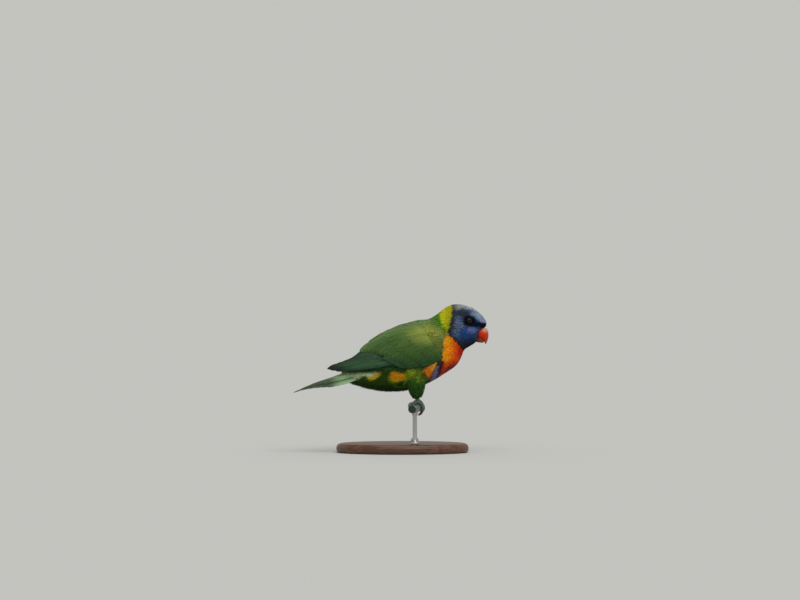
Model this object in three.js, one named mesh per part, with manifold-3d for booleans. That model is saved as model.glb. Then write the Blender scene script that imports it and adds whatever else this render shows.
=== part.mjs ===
// A life-size rainbow lorikeet that grips a short cut length of a green steel ring, on a plain stand.
// Millimetres. +X is the way the bird faces, +Y is its left side and +Z is up.
// The origin is the middle of the base's underside. The bird is laid out from the centre of the rod
// that it grips, which is the origin of its own group.

import * as THREE from 'three';
import { mergeVertices } from 'three/addons/utils/BufferGeometryUtils.js';
import Module from 'manifold-3d';

const wasm = await Module();
wasm.setup();

// Driving dimensions

const GAP = 0.3; // between two pieces that touch
const TRIM = 0.35; // how much a piece is grown where it trims its neighbour
const SHORT_EDGE = 0.03; // a union leaves shorter edges than this, which are closed up
const THIN_FACE = 0.004; // and flatter triangles than this, which are turned

const PERCH = { x: 20, z: 57, radius: 5, ringRadius: 187, halfLength: 55 };
const BASE = { halfLength: 84, halfWidth: 56, height: 12, chamfer: 2.5, foot: 3 };
const STAND_ROD = { radius: 2.6, y: 40, collarRadius: 5, collarHeight: 4, saddle: 4.2 };

const EYE = { x: 64.4, z: 110.4, radius: 4.4, sunk: 2.3, lidRadius: 4.0, lid: 0.8 };
const FOOT_Y = 14.5; // from the midline to the middle of each foot

// The trunk in profile: the back line and the belly line at each station, the half width there, and
// how far below the middle the widest point lies, as a share of the half height.
const TRUNK = [
  { at: 'forehead edge', top: [88.4, 104.4], bottom: [87.4, 101.6], half: 1.6, drop: 0 },
  { at: 'lores', top: [87.8, 108.0], bottom: [83.2, 100.1], half: 5.2, drop: 0 },
  { at: 'forehead', top: [85.4, 112.8], bottom: [78.6, 98.0], half: 8.4, drop: 0.05 },
  { at: 'gape', top: [81.4, 118.0], bottom: [76.4, 90.5], half: 11.2, drop: 0.1 },
  { at: 'chin', top: [75.6, 123.4], bottom: [74.2, 83.2], half: 13.9, drop: 0.12 },
  { at: 'eye', top: [65.6, 129.2], bottom: [66.8, 77.8], half: 16.2, drop: 0.12 },
  { at: 'crown', top: [54.4, 132.0], bottom: [59.6, 73.6], half: 17.6, drop: 0.1 },
  { at: 'nape', top: [43.6, 131.7], bottom: [57.0, 68.5], half: 18.8, drop: 0.06 },
  { at: 'collar', top: [33.8, 127.4], bottom: [54.9, 62.4], half: 20.6, drop: 0.04 },
  { at: 'neck', top: [24.6, 120.4], bottom: [51.0, 55.6], half: 23.4, drop: 0.02 },
  { at: 'shoulder', top: [14.0, 113.6], bottom: [44.6, 49.4], half: 26.4, drop: 0 },
  { at: 'breast', top: [0.0, 111.2], bottom: [33.4, 42.2], half: 28.6, drop: 0 },
  { at: 'belly', top: [-16.0, 107.6], bottom: [18.0, 32.6], half: 29.2, drop: 0.04 },
  { at: 'flank', top: [-33.0, 101.0], bottom: [-1.0, 25.0], half: 28.4, drop: 0.06 },
  { at: 'vent', top: [-49.0, 90.8], bottom: [-22.0, 20.6], half: 25.8, drop: 0.06 },
  { at: 'rump', top: [-63.0, 78.6], bottom: [-44.0, 20.4], half: 21.4, drop: 0.04 },
  { at: 'coverts', top: [-76.0, 64.4], bottom: [-63.0, 23.4], half: 16.0, drop: 0 },
  { at: 'tail root', top: [-88.0, 53.0], bottom: [-80.0, 28.4], half: 11.0, drop: 0 },
  { at: 'covert tips', top: [-97.0, 45.6], bottom: [-94.0, 33.4], half: 7.0, drop: 0 },
];
const HOOD_EDGE = { top: [43.6, 132], bottom: [57.4, 71] }; // where the dark hood ends
const NECK_EDGE = { top: [17.5, 116], bottom: [51.5, 56] }; // where the neck meets the torso

// The wing's outer face: at each x, the height of its fullest line, its distance from the midline,
// and how far it curves in above and below that line.
const WING_FACE = [
  { x: 38, ridge: 84, half: 25.6, up: 30, down: 36 },
  { x: 24, ridge: 82, half: 31.0, up: 35, down: 42 },
  { x: 0, ridge: 77, half: 33.6, up: 39, down: 44 },
  { x: -25, ridge: 70, half: 33.6, up: 39, down: 41 },
  { x: -50, ridge: 62, half: 30.0, up: 36, down: 32 },
  { x: -75, ridge: 55, half: 23.0, up: 28, down: 22 },
  { x: -96, ridge: 51, half: 16.0, up: 20, down: 17 },
  { x: -118, ridge: 48, half: 10.0, up: 15, down: 14 },
];
// The arm of the wing under its coverts, from the wrist back.
const WING_ARM = [
  { x: 35.0, top: 87.5, bottom: 76.0 },
  { x: 31.0, top: 96.0, bottom: 66.0 },
  { x: 22.0, top: 102.0, bottom: 57.5 },
  { x: 6.0, top: 105.0, bottom: 52.4 },
  { x: -14.0, top: 103.0, bottom: 49.8 },
  { x: -36.0, top: 94.4, bottom: 48.6 },
  { x: -58.0, top: 79.0, bottom: 48.2 },
  { x: -76.0, top: 66.4, bottom: 49.4 },
];
const WING_ARM_DEPTH = 12;

// Each tier runs from its lowest feather to its highest: the line of the roots, the line of the
// tips, the width of a vane at either end, how far it lies off the wing's face and how it curves.
const WING_TIERS = [
  {
    name: 'primaries', count: 7, width: [12, 10], lift: -0.9, bend: 2.0,
    roots: [[-22, 56], [-44, 68]],
    tips: [[-92, 51], [-104.5, 45.2], [-114, 49], [-98, 58.6], [-80, 68.5]],
  },
  {
    name: 'secondaries', count: 7, width: [15, 14], lift: 0.3, bend: 1.2,
    roots: [[2, 57], [-32, 94]], tips: [[-20, 53], [-46, 65.5], [-75, 74.5]],
  },
  {
    name: 'greater_coverts', count: 6, width: [16, 15], lift: 1.1, bend: 0.8,
    roots: [[24, 66], [-6, 98]], tips: [[2, 56], [-24, 71], [-42, 91]],
  },
];
const VANE = { thick: 0.9, edge: 0.55, crown: 0.35, tuck: 0.55 };

// Twelve tail feathers in six pairs, the middle pair longest and on top, the others stepping down.
const TAIL = {
  pairs: 6, root: [-80, 49.6], slope: [21, 13], longest: 84, step: 8.2, width: 12.5,
  spread: 1.0, side: 1.7, drop: 2.1, roll: 13, thick: 0.8, edge: 0.55,
};

// The upper and lower bill in profile: the outer line, the inner line and the half width.
const UPPER_BILL = [
  { top: [80.0, 102.6], bottom: [71.5, 89.6], half: 8.2 },
  { top: [86.6, 100.9], bottom: [76.6, 88.2], half: 7.6 },
  { top: [88.9, 96.6], bottom: [79.8, 86.8], half: 6.5 },
  { top: [89.4, 92.0], bottom: [82.0, 85.6], half: 5.2 },
  { top: [88.8, 87.4], bottom: [83.6, 84.2], half: 3.7 },
  { top: [87.4, 83.6], bottom: [84.7, 82.3], half: 2.1 },
  { top: [85.9, 80.7], bottom: [85.2, 80.9], half: 0.6 },
];
const LOWER_BILL = [
  { top: [70.0, 95.0], bottom: [71.0, 84.6], half: 7.0 },
  { top: [77.0, 92.0], bottom: [75.6, 83.6], half: 6.1 },
  { top: [80.4, 89.4], bottom: [79.4, 82.5], half: 4.8 },
  { top: [82.6, 87.0], bottom: [82.2, 82.4], half: 3.0 },
  { top: [83.6, 85.0], bottom: [83.6, 83.4], half: 1.2 },
];
const NOSTRIL = { x: 83.6, z: 100.2, y: 3.1, radius: 0.9 };

// A leg's feathered thigh: centre, and half sizes fore and aft and across.
const THIGH = [
  { x: -6.0, y: 13.0, z: 50.0, long: 13.0, wide: 8.0 },
  { x: -4.0, y: 14.2, z: 41.0, long: 13.6, wide: 9.6 },
  { x: -2.6, y: 14.8, z: 30.0, long: 12.0, wide: 8.8 },
  { x: -2.0, y: 14.9, z: 20.0, long: 9.2, wide: 6.8 },
  { x: -1.2, y: 14.6, z: 12.6, long: 5.4, wide: 4.6 },
];
const SHANK = { top: [-2.2, 16], bottom: [0, 7.2], radius: 2.7, pad: 3.4 };
const TOES = [
  { name: 'inner_front', y: [-2.4, -5.0], from: 96, to: -30, radius: [2.5, 1.9] },
  { name: 'outer_front', y: [2.4, 4.4], from: 96, to: -36, radius: [2.6, 2.0] },
  { name: 'inner_back', y: [-2.2, -4.6], from: 84, to: 188, radius: [2.2, 1.7] },
  { name: 'outer_back', y: [2.2, 5.0], from: 84, to: 198, radius: [2.4, 1.9] },
];
const CLAW = { after: 7, sweep: 44, radius: 1.35, tip: 0.22, flare: 2.6 };

// Finishes

const material = (color, roughness = 0.7, metalness = 0) =>
  new THREE.MeshStandardMaterial({ color, roughness, metalness });
const BLUE = material('#2b3f9c');
const COLLAR = material('#b3c017');
const GREEN = material('#3f7a2a');
const DEEP_GREEN = material('#2f6434');
const TAIL_GREEN = material('#5c8a4c');
const BILL_RED = material('#d8381a', 0.35);
const EYE_BROWN = material('#5a1a10', 0.1);
const FOOT_GREY = material('#77756c', 0.75);
const CLAW_GREY = material('#2c2a28', 0.4);
const ROD_GREEN = material('#0d4438', 0.4, 0.1);
const BASE_WOOD = material('#5a3a24', 0.5);
const STEEL = material('#a8a8a6', 0.3, 1);

// Solids

// A closed geometry as a manifold-3d solid, turned the right way out. Grown, every corner is moved
// outwards along its normal, which gives the room that a neighbour has to leave.
function solid(geometry, grow = 0) {
  const bare = geometry.clone();
  bare.deleteAttribute('normal');
  bare.deleteAttribute('uv');
  const merged = mergeVertices(bare, 1e-4);
  const { position } = merged.attributes;
  const triVerts = new Uint32Array(merged.index.array);
  const build = () => new wasm.Manifold(new wasm.Mesh({
    numProp: 3, vertProperties: position.array, triVerts,
  }));
  if (build().volume() < 0) turnFaces(triVerts);
  if (grow) {
    merged.setIndex(new THREE.BufferAttribute(triVerts, 1)).computeVertexNormals();
    const { array } = merged.attributes.normal;
    position.array.forEach((value, i) => { position.array[i] = value + grow * array[i]; });
  }
  return build();
}

function turnFaces(index) {
  for (let i = 0; i < index.length; i += 3) [index[i + 1], index[i + 2]] = [index[i + 2], index[i + 1]];
}

const join = (pieces) => pieces.reduce((all, piece) => all.add(piece));

// Closes up a mesh's shortest edges and turns the long edge of its thinnest triangles, so that no
// face is too small to keep. The surface stays closed, and moves by less than SHORT_EDGE.
function tidyFaces(corners, faces) {
  const around = corners.map(() => new Set());
  faces.forEach((face, f) => face.forEach((v) => around[v].add(f)));
  const touching = (v) => new Set([...around[v]].flatMap((f) => faces[f]).filter((w) => w !== v));
  const size = (f) => {
    const [a, b, c] = faces[f].map((v) => corners[v]);
    const sides = [b.distanceTo(c), c.distanceTo(a), a.distanceTo(b)];
    const twice = b.clone().sub(a).cross(c.clone().sub(a)).length();
    const longest = Math.max(...sides);
    return { sides, height: twice / (longest || 1), far: sides.indexOf(longest) };
  };
  const set = (f, face) => {
    faces[f].forEach((v) => around[v].delete(f));
    faces[f] = face;
    face.forEach((v) => around[v].add(f));
  };
  const close = (kept, gone) => {
    const others = touching(gone);
    if ([...touching(kept)].filter((v) => others.has(v)).length !== 2) return;
    for (const f of [...around[gone]]) {
      set(f, faces[f].includes(kept) ? [] : faces[f].map((v) => (v === gone ? kept : v)));
    }
  };
  const turn = (f, height, far) => {
    const [r, p, q] = [0, 1, 2].map((k) => faces[f][(far + k) % 3]);
    const other = [...around[p]].find((g) => g !== f && faces[g].includes(q));
    const s = faces[other].find((v) => v !== p && v !== q);
    if (touching(r).has(s)) return;
    const before = [[...faces[f]], [...faces[other]]];
    set(f, [p, s, r]);
    set(other, [s, q, r]);
    if (Math.min(size(f).height, size(other).height) > height) return;
    set(f, before[0]);
    set(other, before[1]);
  };
  for (let pass = 0; pass < 4; pass++) {
    faces.forEach((face, f) => {
      if (!face.length) return;
      const { sides, height, far } = size(f);
      const shortest = Math.min(...sides);
      const k = sides.indexOf(shortest);
      if (shortest < SHORT_EDGE) close(face[(k + 1) % 3], face[(k + 2) % 3]);
      else if (height < THIN_FACE) turn(f, height, far);
    });
  }
  return faces.filter((face) => face.length);
}

// The largest closed surface of a solid, as a geometry. A mirrored copy lies on the bird's right.
function geometryOf(whole, mirrored = false) {
  const largest = whole.decompose().sort((a, b) => b.volume() - a.volume())[0];
  const { numVert, numTri, numProp, vertProperties, triVerts } = largest.getMesh();
  const side = mirrored ? -1 : 1;
  const corners = Array.from({ length: numVert }, (_, i) => {
    const [x, y, z] = vertProperties.subarray(i * numProp, i * numProp + 3);
    return new THREE.Vector3(x, side * y, z);
  });
  const faces = Array.from({ length: numTri }, (_, f) => [...triVerts.subarray(3 * f, 3 * f + 3)]);
  const index = tidyFaces(corners, faces).flat();
  if (mirrored) turnFaces(index);
  const made = new THREE.BufferGeometry().setFromPoints(corners).setIndex(index);
  made.computeVertexNormals();
  return made;
}

function named(name, whole, finish, mirrored = false) {
  const mesh = new THREE.Mesh(geometryOf(whole, mirrored), finish);
  mesh.name = name;
  return mesh;
}

// A closed skin over a row of rings, each an equal number of points, with a cap on each end.
// Every quad is split along the same diagonal, so that the two faces of a thin vane match.
function loft(rings) {
  const sides = rings[0].length;
  const points = rings.flat();
  const index = [];
  for (let i = 0; i + 1 < rings.length; i++) {
    for (let j = 0; j < sides; j++) {
      const a = i * sides + j;
      const b = i * sides + (j + 1) % sides;
      index.push(a, b, b + sides, a, b + sides, a + sides);
    }
  }
  for (const [start, turn] of [[0, false], [(rings.length - 1) * sides, true]]) {
    const middle = new THREE.Vector3();
    for (let j = 0; j < sides; j++) middle.addScaledVector(points[start + j], 1 / sides);
    const hub = points.push(middle) - 1;
    for (let j = 0; j < sides; j++) {
      const [a, b] = [start + j, start + (j + 1) % sides];
      index.push(...(turn ? [hub, a, b] : [hub, b, a]));
    }
  }
  return new THREE.BufferGeometry().setFromPoints(points).setIndex(index);
}

const smooth = (points) => new THREE.CatmullRomCurve3(points, false, 'catmullrom', 0.5);
const mix = THREE.MathUtils.lerp;
const radians = THREE.MathUtils.degToRad;

// A form given by stations in profile.
function profileForm(stations, { steps, sides }, grow = 0) {
  const tops = smooth(stations.map((s) => new THREE.Vector3(s.top[0], 0, s.top[1])));
  const bottoms = smooth(stations.map((s) => new THREE.Vector3(s.bottom[0], 0, s.bottom[1])));
  const sizes = smooth(stations.map((s) => new THREE.Vector3(s.half, s.drop ?? 0, 0)));
  const rings = [];
  for (let i = 0; i <= steps; i++) {
    const t = i / steps;
    const [top, bottom, size] = [tops, bottoms, sizes].map((curve) => curve.getPoint(t));
    const middle = top.clone().add(bottom).multiplyScalar(0.5);
    const up = top.clone().sub(bottom).multiplyScalar(0.5);
    const ring = [];
    for (let j = 0; j < sides; j++) {
      const angle = (2 * Math.PI * j) / sides;
      const [c, s] = [Math.cos(angle), Math.sin(angle)];
      const lift = c - size.y * s * s;
      ring.push(new THREE.Vector3(0, size.x * s, 0).add(middle).addScaledVector(up, lift));
    }
    rings.push(ring);
  }
  return solid(loft(rings), grow);
}

// A round or oval tube through given points, with a half size in each direction at each of them.
function tube(points, halves, sides, { sideways = new THREE.Vector3(0, 1, 0), grow = 0 } = {}) {
  return solid(loft(points.map((point, i) => {
    const next = points[Math.min(i + 1, points.length - 1)];
    const last = points[Math.max(i - 1, 0)];
    const along = next.clone().sub(last).normalize();
    const deep = new THREE.Vector3().crossVectors(along, sideways).normalize();
    const across = new THREE.Vector3().crossVectors(deep, along).normalize();
    const [wide, long] = halves[i];
    return Array.from({ length: sides }, (_, j) => {
      const angle = (2 * Math.PI * j) / sides;
      return point.clone()
        .addScaledVector(across, wide * Math.cos(angle))
        .addScaledVector(deep, long * Math.sin(angle));
    });
  })), grow);
}

// The part of a solid on one side of a plane that runs across the bird through two profile points.
function cutAcross(whole, edge, keepFront) {
  const along = new THREE.Vector2(edge.bottom[0] - edge.top[0], edge.bottom[1] - edge.top[1]).normalize();
  const forward = new THREE.Vector2(-along.y, along.x);
  const offset = forward.x * edge.top[0] + forward.y * edge.top[1];
  const side = keepFront ? 1 : -1;
  return whole.trimByPlane([side * forward.x, 0, side * forward.y], side * offset + GAP / 2);
}

// Trunk

const trunkSteps = { steps: 40, sides: 22 };
const trunk = profileForm(TRUNK, trunkSteps);
const trunkGrown = profileForm(TRUNK, trunkSteps, TRIM);

// How far from the midline the wing's outer face lies at a point of the profile.
function faceAt(rows, x, z) {
  let i = rows.findIndex((row, k) => k > 0 && x >= row.x);
  if (i < 0) i = rows.length - 1;
  const [a, b] = [rows[i - 1], rows[i]];
  const t = THREE.MathUtils.clamp((x - a.x) / (b.x - a.x), -0.3, 1.3);
  const eased = mix(t, THREE.MathUtils.smoothstep(t, 0, 1), 0.35);
  const at = (key) => mix(a[key], b[key], eased);
  const off = z - at('ridge');
  const share = Math.min(Math.abs(off) / (off > 0 ? at('up') : at('down')), 0.985);
  return at('half') * Math.sqrt(1 - share * share);
}

// Head, with its lids, eye sockets and bill

function eyeBall(radius) {
  const ball = new THREE.SphereGeometry(radius, 16, 8).rotateX(Math.PI / 2);
  return ball.translate(EYE.x, eyeSurface() - EYE.sunk, EYE.z);
}

function eyeSurface() {
  const { top, bottom, half, drop } = TRUNK.find((station) => station.at === 'eye');
  const middle = (top[1] + bottom[1]) / 2;
  const high = (EYE.z - middle) / ((top[1] - bottom[1]) / 2) + drop;
  return half * Math.sqrt(1 - high * high);
}

function lidRing() {
  const ring = new THREE.TorusGeometry(EYE.lidRadius, EYE.lid, 6, 16);
  ring.rotateX(Math.PI / 2 - 0.14);
  ring.rotateZ(0.16);
  ring.translate(EYE.x, eyeSurface() - 0.55, EYE.z);
  return ring;
}

// The same piece on both sides of the bird. solid() turns the mirrored one the right way out.
const bothSides = (geometry) => join([solid(geometry), solid(geometry.clone().scale(1, -1, 1))]);

function makeHead() {
  const front = cutAcross(trunk, HOOD_EDGE, true);
  return front.add(bothSides(lidRing())).subtract(bothSides(eyeBall(EYE.radius + GAP)));
}

function makeBill() {
  const steps = { steps: 10, sides: 12 };
  const upper = profileForm(UPPER_BILL, steps);
  const upperGrown = profileForm(UPPER_BILL, steps, TRIM);
  const lower = profileForm(LOWER_BILL, { steps: 6, sides: 10 });
  const nostril = new THREE.SphereGeometry(NOSTRIL.radius, 8, 6);
  nostril.translate(NOSTRIL.x, NOSTRIL.y, NOSTRIL.z);
  return {
    upper: upper.subtract(trunkGrown).subtract(bothSides(nostril)),
    lower: lower.subtract(trunkGrown).subtract(upperGrown),
  };
}

// Feathers: a vane is a thin crowned blade that tapers to a rounded tip.

const VANE_STEPS = [
  { along: 0, wide: 0.62 }, { along: 0.34, wide: 1 }, { along: 0.7, wide: 0.96 },
  { along: 0.9, wide: 0.7 }, { along: 1, wide: 0.12 },
];

// A vane that lies on the wing's face between two points of the profile.
function wingVane({ root, tip, width, lift, bend }) {
  const along = new THREE.Vector2(tip[0] - root[0], tip[1] - root[1]);
  const length = along.length();
  along.normalize();
  const upward = new THREE.Vector2(along.y, -along.x); // towards the back of the bird
  const rings = VANE_STEPS.map((step) => {
    const sag = -bend * Math.sin(Math.PI * step.along);
    const x = root[0] + along.x * length * step.along + upward.x * sag;
    const z = root[1] + along.y * length * step.along + upward.y * sag;
    const reach = (width / 2) * step.wide;
    const points = [-1, 0, 1].map((k) => {
      const [px, pz] = [x + upward.x * reach * k, z + upward.y * reach * k];
      const crown = k === 0 ? VANE.crown : 0;
      return [px, faceAt(WING_FACE, px, pz) + lift + crown - VANE.tuck * k, pz];
    });
    const thick = (k) => (k === 1 ? VANE.thick : VANE.edge);
    return [
      ...points.map(([px, py, pz]) => new THREE.Vector3(px, py, pz)),
      ...points.map(([px, py, pz], k) => new THREE.Vector3(px, py - thick(k), pz)).reverse(),
    ];
  });
  return solid(loft(rings));
}

// One tier of a wing, from its lowest feather to its highest. Each lies over the one below it.
function wingTier(tier) {
  const vanes = [];
  for (let i = 0; i < tier.count; i++) {
    const t = i / (tier.count - 1);
    const [root, tip] = [tier.roots, tier.tips].map((line) => {
      const { x, z } = smooth(line.map(([px, pz]) => new THREE.Vector3(px, 0, pz))).getPoint(t);
      return [x, z];
    });
    vanes.push(wingVane({ root, tip, width: mix(...tier.width, t), lift: tier.lift, bend: tier.bend }));
  }
  return vanes;
}

// The arm: a pad that fills the space between the trunk and the feathers.
function wingArm() {
  const rows = smooth(WING_ARM.map((row) => new THREE.Vector3(row.x, row.top, row.bottom)));
  const [steps, across] = [13, 6];
  const rings = [];
  for (let i = 0; i <= steps; i++) {
    const { x, y: top, z: bottom } = rows.getPoint(i / steps);
    const outer = [];
    const inner = [];
    for (let k = 0; k <= across; k++) {
      const share = k / across;
      const z = mix(bottom, top, share);
      const fromEdge = Math.min(i / 4, (steps - i) / 4, k / 2, (across - k) / 2, 1);
      const face = faceAt(WING_FACE, x, z) - 0.9 - 2.2 * (1 - Math.sin((fromEdge * Math.PI) / 2));
      outer.push(new THREE.Vector3(x, face, z));
      inner.push(new THREE.Vector3(x, face - WING_ARM_DEPTH, z));
    }
    rings.push([...outer, ...inner.reverse()]);
  }
  return solid(loft(rings));
}

function makeWing() {
  return join([wingArm(), ...WING_TIERS.flatMap(wingTier)]).subtract(trunkGrown);
}

function makeTail() {
  const vanes = [];
  for (let pair = 0; pair < TAIL.pairs; pair++) {
    const slope = radians(mix(...TAIL.slope, pair / (TAIL.pairs - 1)));
    const back = new THREE.Vector3(-Math.cos(slope), 0, -Math.sin(slope));
    const up = new THREE.Vector3(-Math.sin(slope), 0, Math.cos(slope));
    for (const side of [-1, 1]) {
      const length = TAIL.longest - TAIL.step * pair;
      const roll = radians(TAIL.roll * pair + 8) * side;
      const across = new THREE.Vector3(0, Math.cos(roll), -Math.sin(roll));
      const out = new THREE.Vector3().crossVectors(back, across).multiplyScalar(-1);
      if (out.z < 0) out.negate();
      const root = new THREE.Vector3(TAIL.root[0], side * (1.6 + TAIL.side * pair), TAIL.root[1])
        .addScaledVector(up, -TAIL.drop * pair - (side > 0 ? 0.5 : 0));
      const splay = radians(TAIL.spread * pair + 0.4) * side;
      const along = back.clone().addScaledVector(new THREE.Vector3(0, 1, 0), Math.tan(splay)).normalize();
      vanes.push(solid(loft(VANE_STEPS.map((step) => {
        const reach = (TAIL.width / 2) * step.wide * (step.along > 0.8 ? 0.8 : 1);
        const centre = root.clone().addScaledVector(along, length * step.along);
        const face = [-1, 0, 1].map((k) => centre.clone()
          .addScaledVector(across, reach * k)
          .addScaledVector(out, k === 0 ? 0.5 : 0));
        const depth = (k) => (k === 1 ? TAIL.thick : TAIL.edge);
        const under = face.map((point, k) => point.clone().addScaledVector(out, -depth(k)));
        return [...face, ...under.reverse()];
      }))));
    }
  }
  const pith = tube(
    [[-80, 42], [-94, 38.5], [-108, 34]].map(([x, z]) => new THREE.Vector3(x, 0, z)),
    [[8, 7], [8, 5.5], [5, 2.4]], 10,
  );
  return join([pith, ...vanes]).subtract(trunkGrown);
}

// Legs and feet

function makeThigh(grow = 0) {
  const form = tube(
    THIGH.map((row) => new THREE.Vector3(row.x, row.y, row.z)),
    THIGH.map((row) => [row.wide, row.long]), 16, { grow },
  );
  return grow ? form : form.subtract(trunkGrown);
}

// How far back the ring has curved at a distance from the midline.
const rodLine = (y) => PERCH.ringRadius - Math.sqrt(PERCH.ringRadius ** 2 - y * y);

function perchTube(grow = 0) {
  const points = [];
  const steps = 12;
  for (let i = 0; i <= steps; i++) {
    const y = mix(-PERCH.halfLength, PERCH.halfLength, i / steps);
    points.push(new THREE.Vector3(-rodLine(y), y, 0));
  }
  const halves = points.map(() => [PERCH.radius, PERCH.radius]);
  return tube(points, halves, 16, { sideways: new THREE.Vector3(0, 0, 1), grow });
}

// A point round the rod, at an angle up from straight ahead, a given distance from the rod's centre.
function roundRod(angle, distance, y) {
  const turn = radians(angle);
  return new THREE.Vector3(Math.cos(turn) * distance - rodLine(y), y, Math.sin(turn) * distance);
}

function toe({ y, from, to, radius }) {
  const steps = 6;
  const points = [];
  const halves = [];
  for (let i = 0; i <= steps; i++) {
    const t = i / steps;
    const half = mix(...radius, t) * (1 + 0.1 * Math.sin(t * Math.PI * 3));
    points.push(roundRod(mix(from, to, t), PERCH.radius + half * 0.92, FOOT_Y + mix(...y, t)));
    halves.push([half, half]);
  }
  return tube(points, halves, 8);
}

function makeFoot() {
  const shank = tube(
    [SHANK.top, [-1.4, 11.5], SHANK.bottom].map(([x, z]) => new THREE.Vector3(x, FOOT_Y, z)),
    [[SHANK.radius, SHANK.radius], [SHANK.radius, SHANK.radius], [SHANK.pad + 1.6, SHANK.pad]], 10,
  );
  return join([shank, ...TOES.map(toe)]).subtract(perchTube(TRIM)).subtract(makeThigh(TRIM));
}

function makeClaw({ y, to, radius }) {
  const turn = to < 90 ? -1 : 1;
  const steps = 5;
  const start = to + turn * CLAW.after;
  const points = [];
  const halves = [];
  for (let i = 0; i <= steps; i++) {
    const t = i / steps;
    const half = mix(CLAW.radius, CLAW.tip, t ** 1.2);
    const distance = PERCH.radius + radius[1] * 0.92 + CLAW.flare * Math.sin((t * Math.PI) / 2);
    points.push(roundRod(start + turn * CLAW.sweep * t, distance, FOOT_Y + y[1]));
    halves.push([half * 0.8, half]);
  }
  return tube(points, halves, 6);
}

// Stand

function makeBase() {
  const { halfLength, halfWidth, height, chamfer, foot } = BASE;
  const profile = [
    [0, 0], [halfWidth - foot, 0], [halfWidth - 1, 1.2], [halfWidth, 3],
    [halfWidth, height - chamfer - 1.5], [halfWidth - 0.8, height - chamfer],
    [halfWidth - chamfer - 1, height], [0, height],
  ].map(([r, z]) => new THREE.Vector2(r, z));
  const disc = new THREE.LatheGeometry(profile, 40).rotateX(Math.PI / 2);
  return solid(disc.scale(halfLength / halfWidth, 1, 1));
}

// A rod from the base up to a saddle that the perch lies in, in the bird's own frame.
function makeStandRod() {
  const floor = BASE.height - PERCH.z + GAP;
  const { radius, collarRadius, collarHeight, saddle } = STAND_ROD;
  const profile = [
    [0, floor], [collarRadius, floor], [collarRadius, floor + collarHeight - 1],
    [collarRadius - 1, floor + collarHeight], [radius, floor + collarHeight + 1],
    [radius, -PERCH.radius - 4], [saddle, -PERCH.radius - 1], [saddle, -1.5], [0, -1.5],
  ].map(([r, z]) => new THREE.Vector2(r, z));
  const rod = new THREE.LatheGeometry(profile, 14).rotateX(Math.PI / 2);
  rod.translate(-rodLine(STAND_ROD.y), STAND_ROD.y, 0);
  return solid(rod).subtract(perchTube(TRIM));
}

// The model

const lorikeet = new THREE.Group();
const bird = new THREE.Group();
bird.position.set(PERCH.x, 0, PERCH.z);
lorikeet.add(bird);

const behindHood = cutAcross(trunk, HOOD_EDGE, false);
const bill = makeBill();
bird.add(
  named('head', makeHead(), BLUE),
  named('neck', cutAcross(behindHood, NECK_EDGE, true), COLLAR),
  named('torso', cutAcross(behindHood, NECK_EDGE, false), GREEN),
  named('bill_upper', bill.upper, BILL_RED),
  named('bill_lower', bill.lower, BILL_RED),
  named('tail', makeTail(), TAIL_GREEN),
  named('perch', perchTube(), ROD_GREEN),
);

const pairs = [
  ['eye', solid(eyeBall(EYE.radius)), EYE_BROWN],
  ['wing', makeWing(), DEEP_GREEN],
  ['leg', makeThigh(), GREEN],
  ['foot', makeFoot(), FOOT_GREY],
  ...TOES.map((one) => [`claw_${one.name}`, makeClaw(one), CLAW_GREY]),
  ['stand_rod', makeStandRod(), STEEL],
];
for (const [name, whole, finish] of pairs) {
  bird.add(named(`${name}_left`, whole, finish), named(`${name}_right`, whole, finish, true));
}
lorikeet.add(named('stand_base', makeBase(), BASE_WOOD));

export default lorikeet;
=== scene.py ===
# %% [markdown]
# # A rainbow lorikeet on a perch
# This lesson dresses a life-size model of a rainbow lorikeet. The solids of the bird, its perch and
# its stand are loaded first and never move. Each cell then makes one piece or one finish around
# them: the skin and its feathers, the wings and tail, the bill, eyes and feet, and the stand.

import math

import bpy
import numpy as np
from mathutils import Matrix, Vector
from mathutils.bvhtree import BVHTree


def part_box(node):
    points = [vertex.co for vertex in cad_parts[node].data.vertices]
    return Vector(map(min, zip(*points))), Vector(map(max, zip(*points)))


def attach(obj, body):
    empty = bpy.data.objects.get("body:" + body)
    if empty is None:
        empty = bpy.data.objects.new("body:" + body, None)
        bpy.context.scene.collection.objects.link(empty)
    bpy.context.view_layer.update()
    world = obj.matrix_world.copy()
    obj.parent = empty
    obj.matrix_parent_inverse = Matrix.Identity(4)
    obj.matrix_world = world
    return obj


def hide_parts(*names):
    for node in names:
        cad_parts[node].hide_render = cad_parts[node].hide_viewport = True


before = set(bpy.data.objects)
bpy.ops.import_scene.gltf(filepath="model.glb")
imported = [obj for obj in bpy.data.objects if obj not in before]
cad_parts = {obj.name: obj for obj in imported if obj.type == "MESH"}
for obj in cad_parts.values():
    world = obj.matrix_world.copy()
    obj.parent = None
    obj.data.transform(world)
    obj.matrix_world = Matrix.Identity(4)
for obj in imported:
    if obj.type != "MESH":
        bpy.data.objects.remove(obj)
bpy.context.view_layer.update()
BODY = "root"
print("solids loaded:", len(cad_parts))

# %% [markdown]
# ## Where things are
# A bird is easiest to lay out from the place where it grips. So every place on the bird is given in
# millimetres from the middle of the rod: x forwards to the bill, y to the bird's left and z up. The
# rod itself is a solid of the model, and its box gives that middle point.

# %% Places in millimetres from the grip
MM = 0.001
perch_low, perch_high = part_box("perch")
ROD_RADIUS = (perch_high.z - perch_low.z) / 2 / MM
GRIP = Vector((perch_high.x - ROD_RADIUS * MM, 0, (perch_low.z + perch_high.z) / 2))
print("grip at", [round(value, 4) for value in GRIP], "rod radius", round(ROD_RADIUS, 2))


def spot(x, y, z):
    """The place in the scene of a point in millimetres from the grip."""
    return GRIP + Vector((x, y, z)) * MM


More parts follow.
